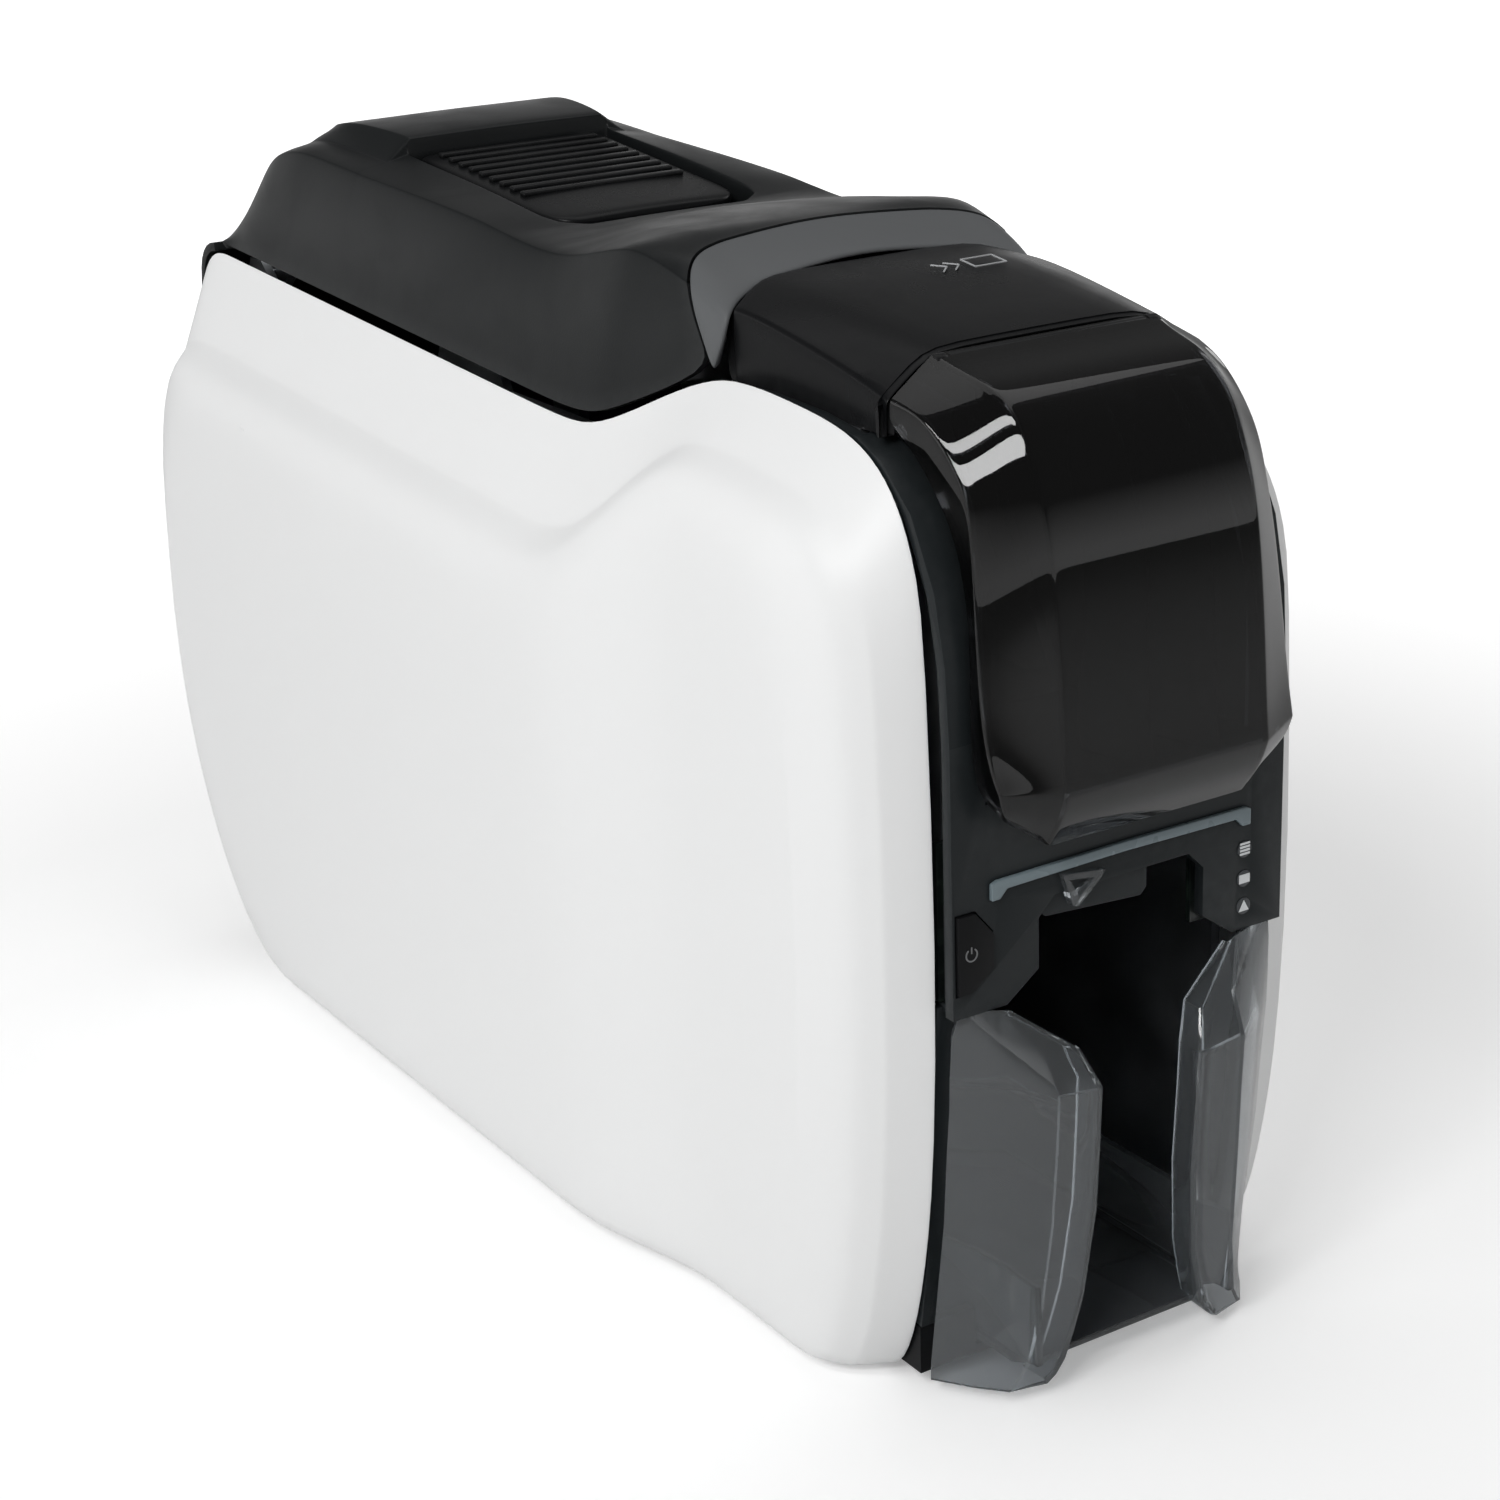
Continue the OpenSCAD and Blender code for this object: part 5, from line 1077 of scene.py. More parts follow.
@dataclass
class LidAssembly:
    """The dark lid, its grey front band and the ribbed release pad."""

    form: PanelForm = field(default_factory=PanelForm)
    seam: float = 2.2
    side_gap: float = 1.0
    wall: float = 2.2
    crease_x: float = 48.0
    well_x: float = 31.0
    well_z: float = 245.5
    bar_front_y: float = 91.5
    bar_rear_y: float = 122.0
    top_z: float = 266.0
    lip_y: float = 4.6
    pad_x: float = 29.0
    pad_front: Pair = (12.5, 251.0)
    pad_rear: Pair = (90.3, 259.0)
    pad_corner: float = 10.0
    pad_skirt: float = 4.0
    rib_count: int = 9
    rib_start: float = 26.0
    side_below_z: float = 252.0

    def front_ring(self) -> list[Point]:
        """Gives the right half of the lid's front edge.

        Returns:
            The points, from the side to the middle.
        """
        return [(47.3, -91.2, 232.6), (47.35, -87.4, 238.6), (47.2, -83, 245.4), (46.3, -80, 251.5),
                (43, -76.2, 255.6), (37.4, -71.9, 257), (32, -70, 257.5), (30, -69.4, 257.8),
                (16, -67.4, 258.6), (5, -66.5, 259)]

    def band_ring(self) -> list[Point]:
        """Gives the right half of the front band's lower edge.

        Returns:
            The points, from the side to the middle.
        """
        return [(47.0, -91.9, 233.2), (46.5, -93.6, 237.4), (46.0, -94.8, 241.2),
                (44.8, -94.8, 245.4), (41.6, -93, 248.2), (36.6, -90.4, 249.8), (31, -88.6, 251),
                (29, -88.2, 251.4), (15.5, -86.4, 252.8), (5, -85.5, 253.5)]

    def stations(self) -> list[tuple[float, ...]]:
        """Gives y, crease z, shoulder z, edge x and z, inner x and z and middle z along the lid.

        Returns:
            One row for each station, from front to rear.
        """
        x, z, f, lip = self.well_x, self.well_z, self.bar_front_y, self.lip_y
        return [
            (-62, 256.9, 258.4, 32, 258.9, 30, 259, 259.1),
            (-52, 255.6, 257.4, 32, 258.1, 30, 258.3, 258.7),
            (-42, 253.4, 255.6, 32, 256.9, 30, 257.2, 258.1),
            (-31, 250.9, 253.4, 32, 255.2, 30, 255.8, 257),
            (-22, 249.8, 251.8, 32, 253.4, 29, 254.2, 255.8),
            (-12, 249.8, 250.9, 31, 251.8, 26, 252.2, 253.4),
            (-2, 250.5, 251, 28, 251.1, 24, 251.1, 251.5),
            (lip, 251.2, 251.3, 24.6, 250.9, 23.4, 250.7, 250.9),
            (lip + 0.8, 251.3, 251.4, 25.2, 250.9, 24.6, z, z),
            (9, 251.6, 251.8, 29.8, 251.5, 28.8, z, z), (15, 252.3, 252.6, 31.9, 252.3, 30.9, z, z),
            (24, 253.1, 253.7, 32, 253.5, x, z, z), (50, 254.5, 255.7, 32, 256.3, x, z, z),
            (78, 255.6, 257.3, 32, 258.5, x, z, z), (f - 0.8, 256.1, 258, 32, 259.6, x, z, z),
            (f, 256.2, 258.1, 32.5, 262, x - 0.4, 263.6, 263.8),
            (f + 1.4, 256.3, 258.2, 33, 262.7, x - 0.2, 264.2, 264.6),
            (104, 257, 258.8, 34.4, 263.2, 32.4, 265.2, 265.5),
            (self.bar_rear_y, 257.9, 259.5, 36.4, 263.8, 34.4, 265.7, self.top_z),
            (132, 257.8, 259.6, 36.2, 262.4, 34, 263.8, 264),
            (141, 256.2, 258.2, 36, 259.4, 34, 259.9, 260),
            (148, 253.9, 255.4, 36, 255.6, 34, 255.7, 255.8),
            (156, 248, 248.9, 36, 249.1, 34, 249.2, 249.2),
            (164, 238.6, 239.3, 36, 239.5, 34, 239.6, 239.6),
            (170, 231.4, 231.9, 36, 232, 34, 232.1, 232.1),
            (171.3, 229.6, 229.9, 36, 230, 34, 230, 230)]

    def section(self, row: Sequence[float]) -> list[Point]:
        """Gives the right half of the lid's section at one station.

        Args:
            row: The station.

        Returns:
            The points, from the side to the middle.
        """
        y, zc, zs, xe, ze, xi, zi, zm = row
        low = self.form.rim_top(y) + self.seam
        hx = self.form.rim_x(y) - self.side_gap
        cx = mix(self.crease_x, 46.6, self.form.stepped(y))
        zc = max(zc, low + 0.5)
        return [(hx, y, low), (mix(hx, cx, 0.4) + 0.4, y, mix(low, zc, 0.5)),
                (mix(hx, cx, 0.85) + 0.5, y, mix(low, zc, 0.86)), (cx - 0.1, y, zc),
                (cx - 3.4, y, mix(zc, max(zs, low + 0.6), 0.55)), (38.4, y, max(zs, low + 0.7)),
                (xe, y, max(ze, low + 0.8)), (xi, y, max(zi, low + 0.9)),
                (16, y, max(mix(zi, zm, 0.6), low + 0.9)), (5, y, max(zm, low + 0.9))]

    def shell(self) -> Piece:
        """Builds the lid's shell.

        Returns:
            The shell.
        """
        rows = [mirrored(self.front_ring())] + [mirrored(self.section(r)) for r in self.stations()]
        piece = Bench.skin("lid_shell", rows)
        Bench.round_edges(piece, 1.1, 2, 26)
        Bench.soften(piece, 2)
        Bench.thicken(piece, self.wall)
        return place(piece, Look.lid, "lid", "dark_lid", "top_lid", smooth=50)

    def band(self) -> Piece:
        """Builds the grey band across the front edge.

        Returns:
            The band.
        """
        rows = []
        for top, low in zip(mirrored(self.front_ring()), mirrored(self.band_ring())):
            t, b = Vector(top) + Vector((0, -0.35, 0)), Vector(low)
            inward = Vector((-t.x * 0.02, 0.35, -0.9)).normalized()
            if t.z < self.side_below_z:
                inward = Vector((-math.copysign(1.0, t.x), 0.3, 0)).normalized()
            bulge = inward * -0.35
            face = b - t
            rows.append([tuple(point) for point in (
                t + inward * 2.0, t + inward * 0.5, t + face * 0.05, t + face * 0.35 + bulge,
                t + face * 0.65 + bulge, t + face * 0.95, b + inward * 0.6, b + inward * 2.0,
                t + face * 0.5 + inward * 2.0)])
        piece = Bench.loft("lid_band", rows, 2)
        return place(piece, Look.band, "lid", "grey_band", "lid_front_band", smooth=50)

    def pad_height(self, y: float) -> float:
        """Gives the height of the pad's top at y."""
        (y0, z0), (y1, z1) = self.pad_front, self.pad_rear
        return mix(z0, z1, (y - y0) / (y1 - y0))

    def pad(self) -> Piece:
        """Builds the release pad with its ribs and its hook.

        Returns:
            The pad.
        """
        rows = []
        y0, y1 = self.pad_front[0], self.pad_rear[0]
        ys = [y0 - 0.5, y0 + 0.5, y0 + 2, y0 + 5, y0 + 10, y0 + 18, y0 + 30, y0 + 45, y1 - 8,
              y1 - 1.5, y1]
        for i, y in enumerate(ys):
            d = min(max(y - y0 + 0.5, 0.02), self.pad_corner)
            corner = self.pad_corner
            half = self.pad_x - corner + math.sqrt(corner ** 2 - (corner - d) ** 2)
            top = self.pad_height(max(y, y0)) - (1.1 if i == 0 else 0.35 if i == 1 else 0)
            low = top - self.pad_skirt + (1.1 if i == 0 else 0)
            xs = [-half, -half * 0.985, -half * 0.9, -half * 0.5, 0, half * 0.5, half * 0.9,
                  half * 0.985, half]
            crown = [-1.1, -0.3, 0, 0.35, 0.5, 0.35, 0, -0.3, -1.1]
            over = [(x, y, top + c) for x, c in zip(xs, crown)]
            rows.append(over + [(half, y, low), (half * 0.5, y, low), (-half * 0.5, y, low),
                                (-half, y, low)])
        parts = [Bench.loft("release_pad", rows, 2)]
        end = self.pad_x - 4
        first = Bench.block("pad_rib", (-end, -1.3, -0.6), (end, 1.3, 0.75), 0.5)
        slope = math.atan2(self.pad_rear[1] - self.pad_front[1], y1 - y0)
        for i in range(self.rib_count):
            y = mix(y0 + self.rib_start, y1 - 5, i / (self.rib_count - 1))
            spot = Vector((0, y, self.pad_height(y) + 0.45)) * MM
            turn = Matrix.Translation(spot) @ Matrix.Rotation(slope, 4, "X")
            parts.append(Bench.moved_copy(first, f"rib_{i}", turn))
        bpy.data.objects.remove(first)
        hook = [(30, 251), (30, 224.8), (34.8, 227.2), (33, 228.4), (33, 251)]
        parts.append(Bench.prism("pad_hook", hook, "x", -5, 5))
        parts.append(Bench.rod("pad_barrel", (-28.5, 86, 251), (28.5, 86, 251), 3.0, 28))
        return place(Bench.join(parts), Look.pad, "pad", "dark_lid", "release_pad", smooth=40)

    def build(self) -> list[Piece]:
        """Builds the lid's pieces."""
        return [self.shell(), self.band(), self.pad()]


# ---------------------------------------------------------------- feeder


@dataclass
class FeederAssembly:
    """The feeder's dark roof and the smoke-clear cover that hangs from it."""

    roof_x: float = 43.5
    flat_x: float = 30.0
    front_y: float = -154.2
    axis: Pair = (-155.9, 242.5)
    bead: float = 2.6
    lug_x: float = 28.0
    lug_t: float = 3.0
    cover_x: float = 42.3
    cover_flat_x: float = 28.4
    cover_wall: float = 2.2
    lip_z: float = 141.5
    rib_places: tuple[float, ...] = (-3.5, 15.0)
    rib_t: float = 1.0
    front: float = -199.5
    sign_line: float = 0.45
    sign_lift: float = 0.3

    def roof_section(self, y: float, side_y: float, top: float, drop: float,
                     inset: float = 0.0) -> list[Point]:
        """Gives a whole section of the roof from its left foot to its right one.

        Args:
            y: Place of the section at the middle.
            side_y: Its place at the sides.
            top: Height of the flat top.
            drop: Fall from the top to the outer edges.
            inset: How far the section is drawn in.

        Returns:
            The section's points.
        """
        x, m, t = self.roof_x - inset, self.flat_x, top - inset
        half = [(x, side_y, 229.0), (x, side_y, t - drop - 1.0), (x - 0.7, side_y, t - drop - 0.1),
                (m + 4, mix(side_y, y, 0.72), t - drop * 0.3), (m - 1.5, y, t),
                (m * 0.5, y, t + 0.2)]
        return mirrored(half)

    def roof(self) -> Piece:
        """Builds the roof with its hinge lugs and the shelf under the lid.

        Returns:
            The roof.
        """
        f = self.front_y
        rows = [self.roof_section(*row) for row in (
            (f + 1.6, f - 0.6, 243.4, 8.4), (f, f - 2.2, 245.2, 7.7),
            (f + 1.5, f - 0.7, 245.5, 7.5), (-142, -143.4, 247.1, 6.2), (-127, -127, 248.8, 4.8),
            (-108, -109, 251, 4.1), (-97, -100, 251.6, 3.9), (-87.6, -95.4, 252.1, 4.3),
            (-87.3, -95.1, 252.1, 4.3, 1.2), (-82, -90, 252.1, 4.3, 1.3))]
        piece = Bench.skin("feeder_roof_shell", rows)
        Bench.round_edges(piece, 0.45, 2, 25)
        Bench.soften(piece, 1)
        Bench.thicken(piece, 2.0, even=False)
        parts = [piece]
        for side in (-1, 1):
            x0 = side * (self.lug_x + self.lug_t / 2) - self.lug_t / 2
            x1, (y, z) = x0 + self.lug_t, self.axis
            parts.append(Bench.rod(f"lug_{side}", (x0, y, z), (x1, y, z), self.bead, 32))
            parts.append(Bench.block(f"lug_arm_{side}", (x0, y, 239.9), (x1, y + 9, 243.3)))
        return place(Bench.join(parts), Look.roof, "base", "black_plastic", "feeder_roof",
                     smooth=40)

    def roof_height(self, y: float) -> float:
        """Gives the height of the roof's flat top at y."""
        return mix(251.2, 248.9, (-108 - y) / 19)

    def card_sign(self) -> Piece:
        """Builds the sign on the roof: a card and two arrow strokes that point at it.

        Returns:
            The sign.
        """
        corners = [(14.5, -104.5), (23.5, -104.5), (23.5, -110.5), (14.5, -110.5)]
        radius = self.sign_line / 2
        chevrons = [[(x, -104.8), (x + 2.8, -107.5), (x, -110.2)] for x in (5.5, 9.0)]
        parts = []
        for path in [corners + corners[:1], *chevrons]:
            for ends in zip(path, path[1:]):
                start, end = [(x, y, self.roof_height(y) + self.sign_lift) for x, y in ends]
                parts.append(Bench.rod(f"stroke_{len(parts)}", start, end, radius, 8, 0.0))
        piece = Bench.join(parts, "roof_card_sign")
        return place(piece, Look.print_silver, "base", "black_plastic")

    def cover_rows(self) -> list[tuple[float, ...]]:
        """Gives middle y, z and half width, side x, y and z, and back edge y and z down the cover.

        Returns:
            One row for each height, from the hinge down.
        """
        x, f, z, m = self.cover_x, self.front, self.lip_z, self.cover_flat_x
        return [
            (-155.3, 245.05, 30.6, 43.4, -157.3, 237.3, -156.8, 232.2),
            (-164.5, 242.6, 29.4, x - 0.4, -164.8, 235.6, -161.2, 228.4),
            (-172, 241.3, 28.9, x - 0.9, -170.6, 231.8, -166.4, 223.4),
            (-178.7, 238.6, m, x - 1.3, -176.2, 226.4, -171.8, 217),
            (-183.6, 234.2, m, x - 1.5, -180.2, 220.8, -175.6, 211),
            (-187.4, 228.4, m, x - 1.3, -182.2, 214.4, -178.4, 205.4),
            (-191.6, 218.6, m, x - 0.7, -183.8, 205.6, -180.8, 199),
            (-194.2, 208.6, m, x - 0.2, -185, 198.2, -182.6, 193.6),
            (-196, 196.4, m, x + 0.2, -186.2, 189.6, -183.6, 186.4),
            (-197.6, 179.6, m, x + 0.6, -187.8, 177, -183.8, 176),
            (-198.6, 163.6, m, x + 0.4, -190, 164.6, -183.8, 165),
            (f, z + 14, m, x - 0.6, -193, z + 15.2, -184.4, z + 15.6),
            (f + 1.2, z + 10.6, m - 0.1, x - 1.1, -192.7, z + 13, -185.2, z + 13.6),
            (-196.2, z + 6.0, m - 0.2, x - 1.9, -192, z + 10.4, -186.2, z + 11.2),
            (-191.8, z, m - 0.8, x - 3.4, -190.6, z + 8, -187.6, z + 9.2)]

    def cover(self) -> Piece:
        """Builds the smoke-clear cover.

        Returns:
            The cover.
        """
        rows = []
        for my, mz, mx, sx, sy, sz, by, bz in self.cover_rows():
            half = [(sx, by, bz), (sx, mix(by, sy, 0.5) - 0.15, mix(bz, sz, 0.5)), (sx, sy, sz),
                    (mx, my, mz), (mx * 0.5, my - 0.05, mz + 0.05)]
            rows.append(mirrored(half))
        piece = Bench.skin("feeder_cover", rows)
        Bench.flip(piece)
        Bench.round_edges(piece, 0.6, 2, 23)
        Bench.soften(piece, 2)
        Bench.thicken(piece, self.cover_wall, even=False)
        return place(piece, Look.smoke, "feeder_cover", "smoke_clear", "input_cover", smooth=40)

    def bead_rod(self) -> Piece:
        """Builds the hinge bead inside the cover's upper edge."""
        rod = Bench.rod("cover_bead", (-27.3, *self.axis), (27.3, *self.axis), self.bead - 0.15, 32)
        return place(rod, Look.roof, "feeder_cover", "smoke_clear", smooth=40)

    def rib_edges(self) -> tuple[list[Pair], list[Pair]]:
        """Gives the outer and the inner edge of a rib behind the cover's front face.

        Returns:
            Both edges, in y and z.
        """
        outer = [(my, mz) for my, mz, *_ in self.cover_rows()[2:12]]
        rows = list(zip(outer, outer[1:] + [(outer[-1][0], outer[-1][1] - 5)]))
        wall = self.cover_wall + 0.1
        line = []
        for (y, z), (y2, z2) in rows:
            run = math.hypot(y2 - y, z2 - z)
            line.append((y - (z2 - z) / run * wall, z + (y2 - y) / run * wall))
        inner = [(-168.6, 236.5), (-167.6, 228), (-167.4, 218), (-170.6, 207), (-173.2, 198),
                 (-173.8, 186),
                 (-172.8, 177), (-171, 167), (-170.6, 160), (-172.5, 153)]
        return line, inner

    def ribs(self) -> list[Piece]:
        """Builds the two thin ribs behind the cover's front face, tinted paler than the cover to
        paint their highlight.

        Returns:
            The ribs.
        """
        made = []
        outer, inner = self.rib_edges()
        for i, x in enumerate(self.rib_places):
            low, high = x - self.rib_t / 2, x + self.rib_t / 2
            rows = [[(low, *a), (low, *b), (high, *b), (high, *a)] for a, b in zip(outer, inner)]
            piece = Bench.loft(f"cover_rib_{i}", rows)
            Bench.round_edges(piece, 0.2, 1, 40)
            made.append(place(piece, Look.smoke_rib_painted_highlight, "feeder_cover", "smoke_clear", smooth=30))
        return made

    def build(self) -> list[Piece]:
        """Builds the feeder's pieces."""
        return [self.roof(), self.card_sign(), self.cover(), self.bead_rod(), *self.ribs()]


# ---------------------------------------------------------------- front


@dataclass
class FrontAssembly:
    """The dark bezel with its light bar, button, windows and printed signs."""

    face_y: float = -183.2
    light_x: float = 37.6
    light_z: float = 131.4
    button_z: float = 117.0
    icon_x: float = 36.4
    icon_zs: tuple[float, ...] = (122.0, 114.6, 107.6)
    ink: float = 0.12

    def bezel(self) -> Piece:
        """Builds the bezel from its solid, with soft edges."""
        piece = Bench.node_copy("front_bezel", "front_bezel_shell", 0.5)
        return place(piece, Look.bezel, "base", "bezel_plastic", "front_bezel")

    def light_bar(self) -> Piece:
        """Builds the pale light bar with bent ends.

        Returns:
            The bar.
        """
        x, z = self.light_x, self.light_z
        outline = [(-x, z - 3.2), (-x + 2.4, z - 3.2), (-x + 4.4, z - 1.1), (0, z - 0.6),
                   (x - 4.4, z - 1.1),
                   (x - 2.4, z - 3.2), (x, z - 3.2), (x, z + 0.8), (x - 1.6, z + 1.4), (0, z + 1.8),
                   (1.6 - x, z + 1.4), (-x, z + 0.8)]
        piece = Bench.prism("status_light", outline, "y", self.face_y - 0.9, self.face_y + 1.6)
        Bench.round_edges(piece, 0.35, 3)
        return place(piece, Look.lens, "base", "light_plastic", "light_bar", smooth=32)

    def button(self) -> Piece:
        """Builds the power button with soft edges."""
        piece = Bench.node_copy("power_button", "power_key", 0.45)
        return place(piece, Look.black, "button", "black_plastic", "power_button")

    def ring(self, name: str, centre: Pair, radius: float, width: float, y: float,
             gap: float = 0.0) -> Piece:
        """Builds a thin flat ring on a face that looks forward, open at its top by an angle.

        Args:
            name: Name of the piece.
            centre: Its middle, across and up.
            radius: Its middle radius.
            width: Width of its line.
            y: The face's place.
            gap: Angle of the opening in degrees.

        Returns:
            The ring.
        """
        steps = 28
        turns = [math.radians(90 + gap / 2 + (360 - gap) * i / steps) for i in range(steps + 1)]
        rows = [[(centre[0] + r * math.cos(a), y, centre[1] + r * math.sin(a)) for a in turns]
                for r in (radius - width / 2, radius + width / 2)]
        piece = Bench.skin(name, rows)
        return Bench.modify(piece, "SOLIDIFY", thickness=self.ink * MM, offset=0.0)

    def power_sign(self) -> Piece:
        """Builds the sign for on and off on the button.

        Returns:
            The sign.
        """
        y = self.face_y - 0.8 - self.ink / 2
        x, z = -43.3, self.button_z
        ring = self.ring("power_ring", (x, z), 1.5, 0.35, y, 70)
        bar = Bench.block("power_bar", (x - 0.18, y - self.ink / 2, z + 0.3),
                          (x + 0.18, y + self.ink / 2, z + 1.9), 0.03)
        piece = Bench.join([ring, bar], "power_sign")
        return place(piece, Look.print_grey, "button", "black_plastic")

    def windows(self) -> Piece:
        """Builds the three round windows."""
        piece = Bench.node_copy("indicator_windows", "lamp_windows", 0.15)
        return place(piece, Look.window, "base", "light_plastic", "indicator_windows")

    def window_signs(self) -> Piece:
        """Builds the signs over the windows: ribbon, card and warning.

        Returns:
            The signs, as one piece.
        """
        y = self.face_y - 0.2 - self.ink
        x = self.icon_x
        top, middle, low = self.icon_zs
        parts = []
        for i in range(4):
            z = top - 1.35 + 0.85 * i
            z_end = top - 0.8 + 0.85 * i
            parts.append(Bench.block(f"ribbon_bar_{i}", (x - 1.5, y, z),
                                     (x + 1.5, y + self.ink, z_end), 0.02))
        card = [(x + a * 1.6, middle + b * 1.1) for a, b in ((-1, -1), (1, -1), (1, 1), (-1, 1))]
        alert = [(x - 1.5, low - 1.2), (x + 1.5, low - 1.2), (x, low + 1.5)]
        for name, outline in (("card_sign", card), ("alert_sign", alert)):
            parts.append(Bench.prism(name, outline, "y", y, y + self.ink))
        piece = Bench.join(parts, "window_signs")
        return place(piece, Look.print_white, "base", "light_plastic")

    def plate(self) -> Piece:
        """Builds the dark plate that hangs in the upper left part of the mouth.

        Returns:
            The plate.
        """
        outline = [(-24.6, 126.5), (-24.6, 122.6), (-21, 119.6), (6.4, 117.6), (8.2, 119.4),
                   (8.2, 126.5)]
        piece = Bench.prism("mouth_plate", outline, "y", self.face_y + 1.2, self.face_y + 2.6)
        Bench.round_edges(piece, 0.4, 2)
        return place(piece, Look.bezel, "base", "bezel_plastic", smooth=32)

    def bracket(self) -> Piece:
        """Builds the clear corner bracket over the mouth.

        Returns:
            The bracket.
        """
        outer = [(-18.4, 130.0), (-6.2, 128.4), (-7.4, 126.6), (-13.8, 121.2), (-15.4, 121.6)]
        tool = [(-16.4, 128.2), (-9.4, 127.2), (-13.6, 123.4)]
        piece = Bench.prism("corner_bracket", outer, "y", self.face_y - 1.6, self.face_y + 0.9)
        Bench.cut(piece, Bench.prism("bracket_hole", tool, "y", self.face_y - 3, self.face_y + 3))
        Bench.round_edges(piece, 0.3, 2)
        return place(piece, Look.clear, "base", "light_plastic", smooth=32)

    def build(self) -> list[Piece]:
        """Builds the front's pieces."""
        return [self.bezel(), self.light_bar(), self.button(), self.power_sign(), self.windows(),
                self.window_signs(), self.plate(), self.bracket()]


# ---------------------------------------------------------------- hopper


@dataclass
class HopperAssembly:
    """The clear output hopper with two wings and a shallow bin."""

    wall: float = 1.8
    wing_x: float = 47.2
    bin_x: float = 28.2
    bin_z: float = 9.0

    def wing_rows(self) -> list[list[Point]]:
        """Gives the right wing's rows from the foot to the upper edge, each from inside outwards.

        Returns:
            The rows.
        """
        rows = []
        for z, xi, yi, xt, yt, yo in (
                (3.5, 25, -188.4, 35.5, -186.2, -170.9), (5.5, 22.8, -188.9, 33.8, -187, -171),
                (9, 20.4, -189.2, 31.8, -187.8, -171.3), (16, 18.4, -190, 30.2, -189.2, -172.4),
                (25, 16.2, -190.8, 28.8, -190.4, -173.8), (48, 14, -192.8, 27.6, -193, -177.3),
                (68, 14, -194.2, 27.2, -194.3, -179), (79, 14, -194.8, 27.2, -195, -180.2)):
            rows.append([(xi + 0.6, yi + 8.5, z), (xi + 0.1, yi + 1, z), (xi + 1, yi, z),
                         (mix(xi, xt, 0.5), mix(yi, yt, 0.5), z),
                         (xt, yt, z), (mix(xt, self.wing_x, 0.5), mix(yt, yo, 0.44), z),
                         (self.wing_x, yo, z)])
        rows.append([(14.6, -186.3, 80), (14.1, -193.8, 80), (15, -194.8, 80.2), (21, -194.9, 80.8),
                     (27.2, -195, 81.6),
                     (36.6, -188.6, 83.6), (self.wing_x, -180.4, 86)])
        rows.append([(17.8, -184, 89), (17.5, -189.8, 89), (18.4, -190.4, 89.2), (23, -190.4, 89.8),
                     (28.2, -190.2, 90.6),
                     (37, -186.2, 94), (self.wing_x - 0.4, -180.9, 96)])
        rows.append([(31.6, -181.5, 99.5), (31.8, -183.4, 99.8), (32.6, -183.9, 100.4),
                     (34.2, -183.9, 101), (36, -183.8, 101.4),
                     (40.6, -182.9, 102), (45.4, -181.9, 102.6)])
        return rows

    def wing(self) -> Piece:
        """Builds the right wing.

        Returns:
            The wing.
        """
        piece = Bench.skin("hopper_wing_right", self.wing_rows())
        Bench.thicken(piece, self.wall, even=False)
        Bench.round_edges(piece, 0.45, 3, 24)
        return Bench.shade(piece, 30)

    def bin(self) -> Piece:
        """Builds the bin: a floor with a rounded front and two low side walls.

        Returns:
            The bin.
        """
        x, z = self.bin_x, self.bin_z
        outline = [(-x - 2, -92), (-x - 2, -180), (-x + 2, -184.4), (x - 2, -184.4), (x + 2, -180),
                   (x + 2, -92)]
        floor = Bench.prism("hopper_bin", outline, "z", z - 2, z)
        Bench.round_edges(floor, 0.5, 2)
        parts = [floor]
        for side in (-1, 1):
            low = x if side > 0 else -x - 2
            outline = [(-190, z + 1), (-92, z + 1), (-92, z + 16), (-98, z + 22), (-189, z + 22)]
            side_wall = Bench.prism(f"bin_wall_{side}", outline, "x", low, low + 2)
            parts.append(Bench.round_edges(side_wall, 0.4, 2))
        return Bench.shade(Bench.join(parts), 40)

    def build(self) -> list[Piece]:
        """Builds the hopper's pieces.

        Returns:
            The bin, the right and the left wing.
        """
        right = self.wing()
        left = Bench.moved_copy(right, "hopper_wing_left", Matrix.Scale(-1, 4, (1, 0, 0)))
        Bench.shade(left, 40)
        return [place(piece, Look.clear, "hopper", "clear_plastic", "output_hopper")
                for piece in (self.bin(), right, left)]


# ---------------------------------------------------------------- rear and inside


@dataclass
class RearAssembly:
    """The rear panel and the sockets."""

    net_x: float = 2.0
    net_pitch: float = 1.02
    socket_z: float = 35.6

    def build(self) -> list[Piece]:
        """Builds the rear panel and the contacts of the network socket.

        Returns:
            The panel and the contacts.
        """
        panel = Bench.node_copy("rear_panel", "rear_shell", 0.35)
        place(panel, Look.lid, "base", "dark_lid", "rear_panel")
        parts = []
        for i in range(8):
            x = self.net_x + i * self.net_pitch
            low, high = self.socket_z + 9.2, self.socket_z + 9.7
            parts.append(Bench.block(f"net_contact_{i}", (x - 4, 182.5, low), (x - 3.55, 189, high),
                                     0.05))
        return [panel, place(Bench.join(parts, "net_contacts"), Look.contact, "base", "steel")]


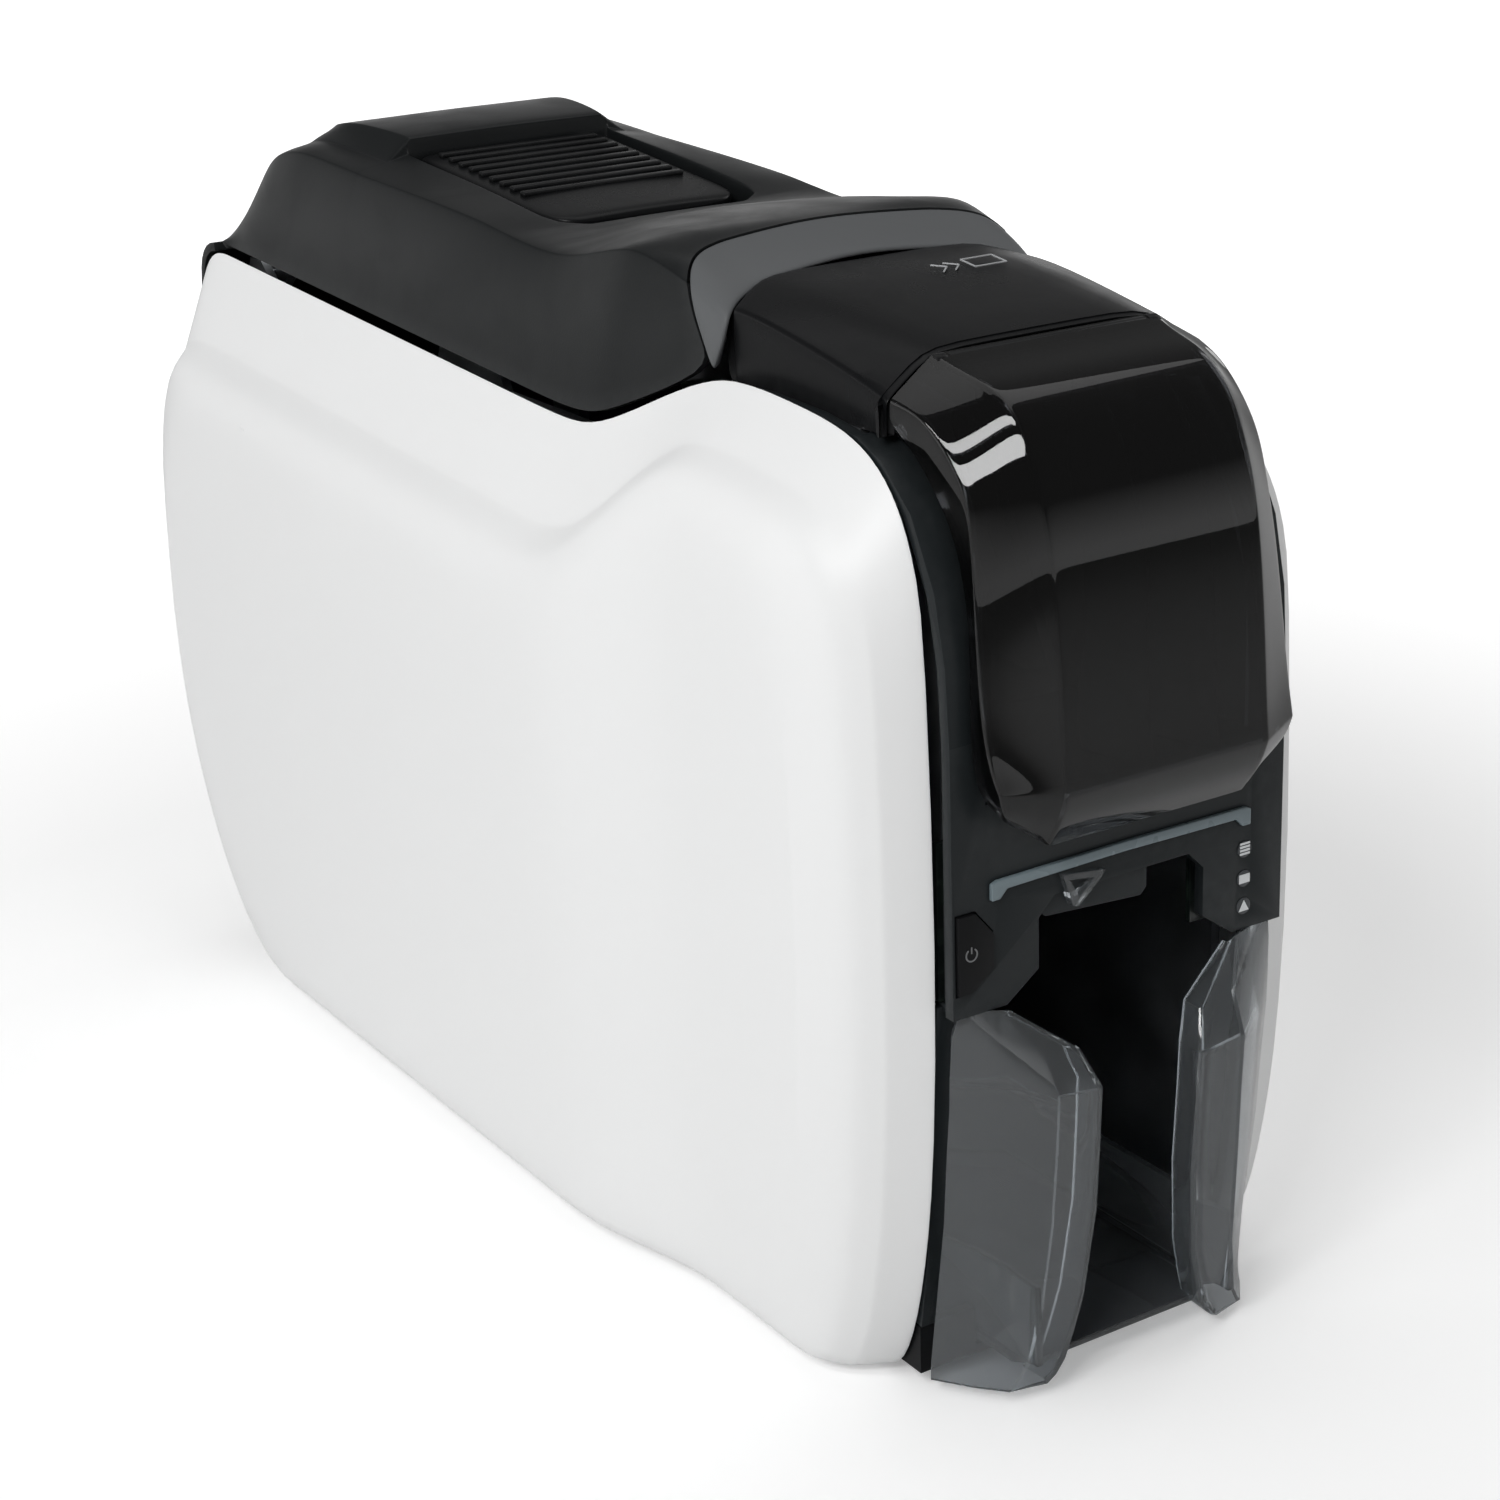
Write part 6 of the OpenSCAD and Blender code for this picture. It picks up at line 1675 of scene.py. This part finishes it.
@dataclass
class Works:
    """The frame, the drive, the ribbon and the boards, dressed as they are."""

    finishes: dict[str, tuple[str, ...]] = field(default_factory=lambda: {
        "black": ("base_tray", "input_tray", "card_sensors", "card_deck", "output_chute",
                  "power_inlet"),
        "grey": ("card_weight", "card_diverter"),
        "foot": ("rubber_feet",),
        "sheet": ("left_chassis_wall", "right_chassis_wall", "lid_frame"),
        "steel": ("input_cover_pins", "pick_shaft", "front_drive_shaft", "platen_shaft",
                  "rear_drive_shaft", "front_pinch_roller", "rear_pinch_roller", "release_pad_pin",
                  "latch_striker", "lid_hinge_pins", "usb_port", "ethernet_port", "screws"),
        "white": ("pick_pulley", "front_drive_pulley", "platen_gear", "rear_drive_pulley",
                  "ribbon_supply_core", "ribbon_takeup_core"),
        "roller": ("pick_roller", "front_drive_roller", "platen_roller", "rear_drive_roller"),
        "tacky": ("cleaning_roller",),
        "belt": ("timing_belt",),
        "brass": ("motor_pinion",),
        "motor": ("stepper_motor", "ribbon_motor"),
        "film": ("ribbon_supply_film", "ribbon_takeup_film", "ribbon_web"),
        "ceramic": ("print_head",),
        "alloy": ("head_heat_sink",),
        "board": ("main_board",),
        "dark_board": ("front_board",),
    })

    def build(self) -> list[Piece]:
        """Dresses the solids that are shown as they are.

        Returns:
            No new piece.
        """
        for look, nodes in self.finishes.items():
            getattr(Look, look).dress(*[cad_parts[n] for n in nodes])
        return []


# ---------------------------------------------------------------- studio


@dataclass
class Studio:
    """The pale floor, the soft lamps and the camera."""

    azimuth: float = -31.8865
    elevation: float = 20.2946
    roll: float = -2.2666
    aside: float = 14.092
    above: float = -17.252
    distance: float = 830.807
    target_z: float = 120.0
    focal_px: float = 3010.66
    picture_px: float = 1500.0
    floor_lift: float = 0.3
    belt: float = 0.26
    overhead: float = 0.16
    floor_size: float = 14.0
    floor_grey: float = 0.93
    rise_start: float = 0.3
    rise_end: float = 1.1

    def floor(self) -> Piece:
        """Builds the pale floor, which looks white and keeps the shadow.

        Returns:
            The floor.
        """
        Bench.clear()
        bpy.ops.mesh.primitive_plane_add(size=self.floor_size)
        floor = Bench.named("studio_floor")
        material = bpy.data.materials.new("studio_floor")
        material.use_nodes = True
        wiring = Wiring(material.node_tree)
        away = wiring.add("ShaderNodeVectorMath", wiring.object_point(), operation="LENGTH")
        rise = wiring.add("ShaderNodeMapRange", From_Min=self.rise_start, From_Max=self.rise_end,
                          To_Min=self.floor_lift, To_Max=1.0, Value=away.outputs["Value"])
        path = wiring.add("ShaderNodeLightPath")
        lift = wiring.add("ShaderNodeMath", path.outputs["Is Camera Ray"], rise.outputs["Result"],
                          operation="MULTIPLY")
        wiring.give(Base_Color=[self.floor_grey] * 3, Roughness=0.9, Specular_IOR_Level=0.1,
                    Emission_Color=(1, 1, 1), Emission_Strength=lift.outputs[0])
        floor.data.materials.append(material)
        return floor

    def sky(self) -> None:
        """Sets a surrounding that is white round the horizon and darker overhead."""
        world = bpy.data.worlds.new("studio")
        bpy.context.scene.world = world
        world.use_nodes = True
        wiring = Wiring(world.node_tree)
        back = world.node_tree.nodes["Background"]
        where = wiring.add("ShaderNodeTexCoord")
        parts = wiring.add("ShaderNodeSeparateXYZ", where.outputs["Generated"])
        fall = wiring.add("ShaderNodeMapRange", From_Min=0.02, From_Max=self.belt, To_Min=1.0,
                          To_Max=self.overhead, Value=parts.outputs["Z"])
        wiring.feed(back.inputs["Color"], (1, 1, 1))
        wiring.feed(back.inputs["Strength"], fall.outputs["Result"])

    def lamp(self, name: str, spot: Point, aim: Point, size: Pair, power: float) -> None:
        """Adds a soft lamp.

        Args:
            name: Name of the lamp.
            spot: Its place in metres.
            aim: The point it looks at, in metres.
            size: Its width and height in metres.
            power: Its power in watts.
        """
        data = bpy.data.lights.new(name, "AREA")
        data.shape = "RECTANGLE"
        data.size, data.size_y = size
        data.energy = power
        lamp = bpy.data.objects.new(name, data)
        lamp.location = spot
        lamp.rotation_mode = "QUATERNION"
        lamp.rotation_quaternion = (Vector(aim) - Vector(spot)).to_track_quat("-Z", "Y")
        bpy.context.scene.collection.objects.link(lamp)

    def camera(self) -> None:
        """Sets the camera where the photograph was taken from."""
        a, e, r = (math.radians(v) for v in (self.azimuth, self.elevation, self.roll))
        back = Vector((math.sin(a) * math.cos(e), -math.cos(a) * math.cos(e), math.sin(e)))
        right = (-back).cross(Vector((0, 0, 1))).normalized()
        up = right.cross(-back)
        across = math.cos(r) * right + math.sin(r) * up
        over = -math.sin(r) * right + math.cos(r) * up
        spot = Vector((0, 0, self.target_z)) + back * self.distance
        spot = spot + across * self.aside + over * self.above
        data = bpy.data.cameras.new("photo_camera")
        data.sensor_width = SENSOR_MM
        data.lens = self.focal_px / self.picture_px * SENSOR_MM
        data.clip_start = 0.05
        data.clip_end = 60.0
        camera = bpy.data.objects.new("photo_camera", data)
        turn = Matrix((across, over, back)).transposed()
        camera.matrix_world = Matrix.Translation(spot * MM) @ turn.to_4x4()
        bpy.context.scene.collection.objects.link(camera)
        bpy.context.scene.camera = camera

    def build(self) -> None:
        """Builds the studio."""
        self.camera()
        self.floor()
        self.sky()
        middle = (0, 0, 0.15)
        self.lamp("left_softbox", (-1.16, -0.78, 1.12), middle, (0.62, 0.34), 9.5)
        self.lamp("upper_softbox", (-1.07, -0.36, 1.50), middle, (0.62, 0.17), 4.5)
        self.lamp("side_softbox", (-1.9, 0.7, 0.7), (0, 0.1, 0.1), (1.4, 1.4), 5.5)
        self.lamp("top_softbox", (0.3, 0.3, 1.9), (0, 0, 0.1), (1.6, 1.6), 6.5)
        self.lamp("right_softbox", (1.6, 0.1, 1.1), (0, -0.1, 0.1), (0.9, 0.9), 3.5)
        bpy.context.scene.view_settings.view_transform = "Standard"


def main() -> None:
    """Builds the studio and every sub-assembly."""
    logging.basicConfig(level=logging.INFO, format="%(message)s")
    Studio().build()
    for kind in (Works, SidePanels, LidAssembly, FeederAssembly, FrontAssembly, HopperAssembly,
                 RearAssembly):
        made = kind().build()
        LOG.info("%s: %d pieces", kind.__name__, len(made))
    Bench.clear()


if __name__ == "__main__":
    main()
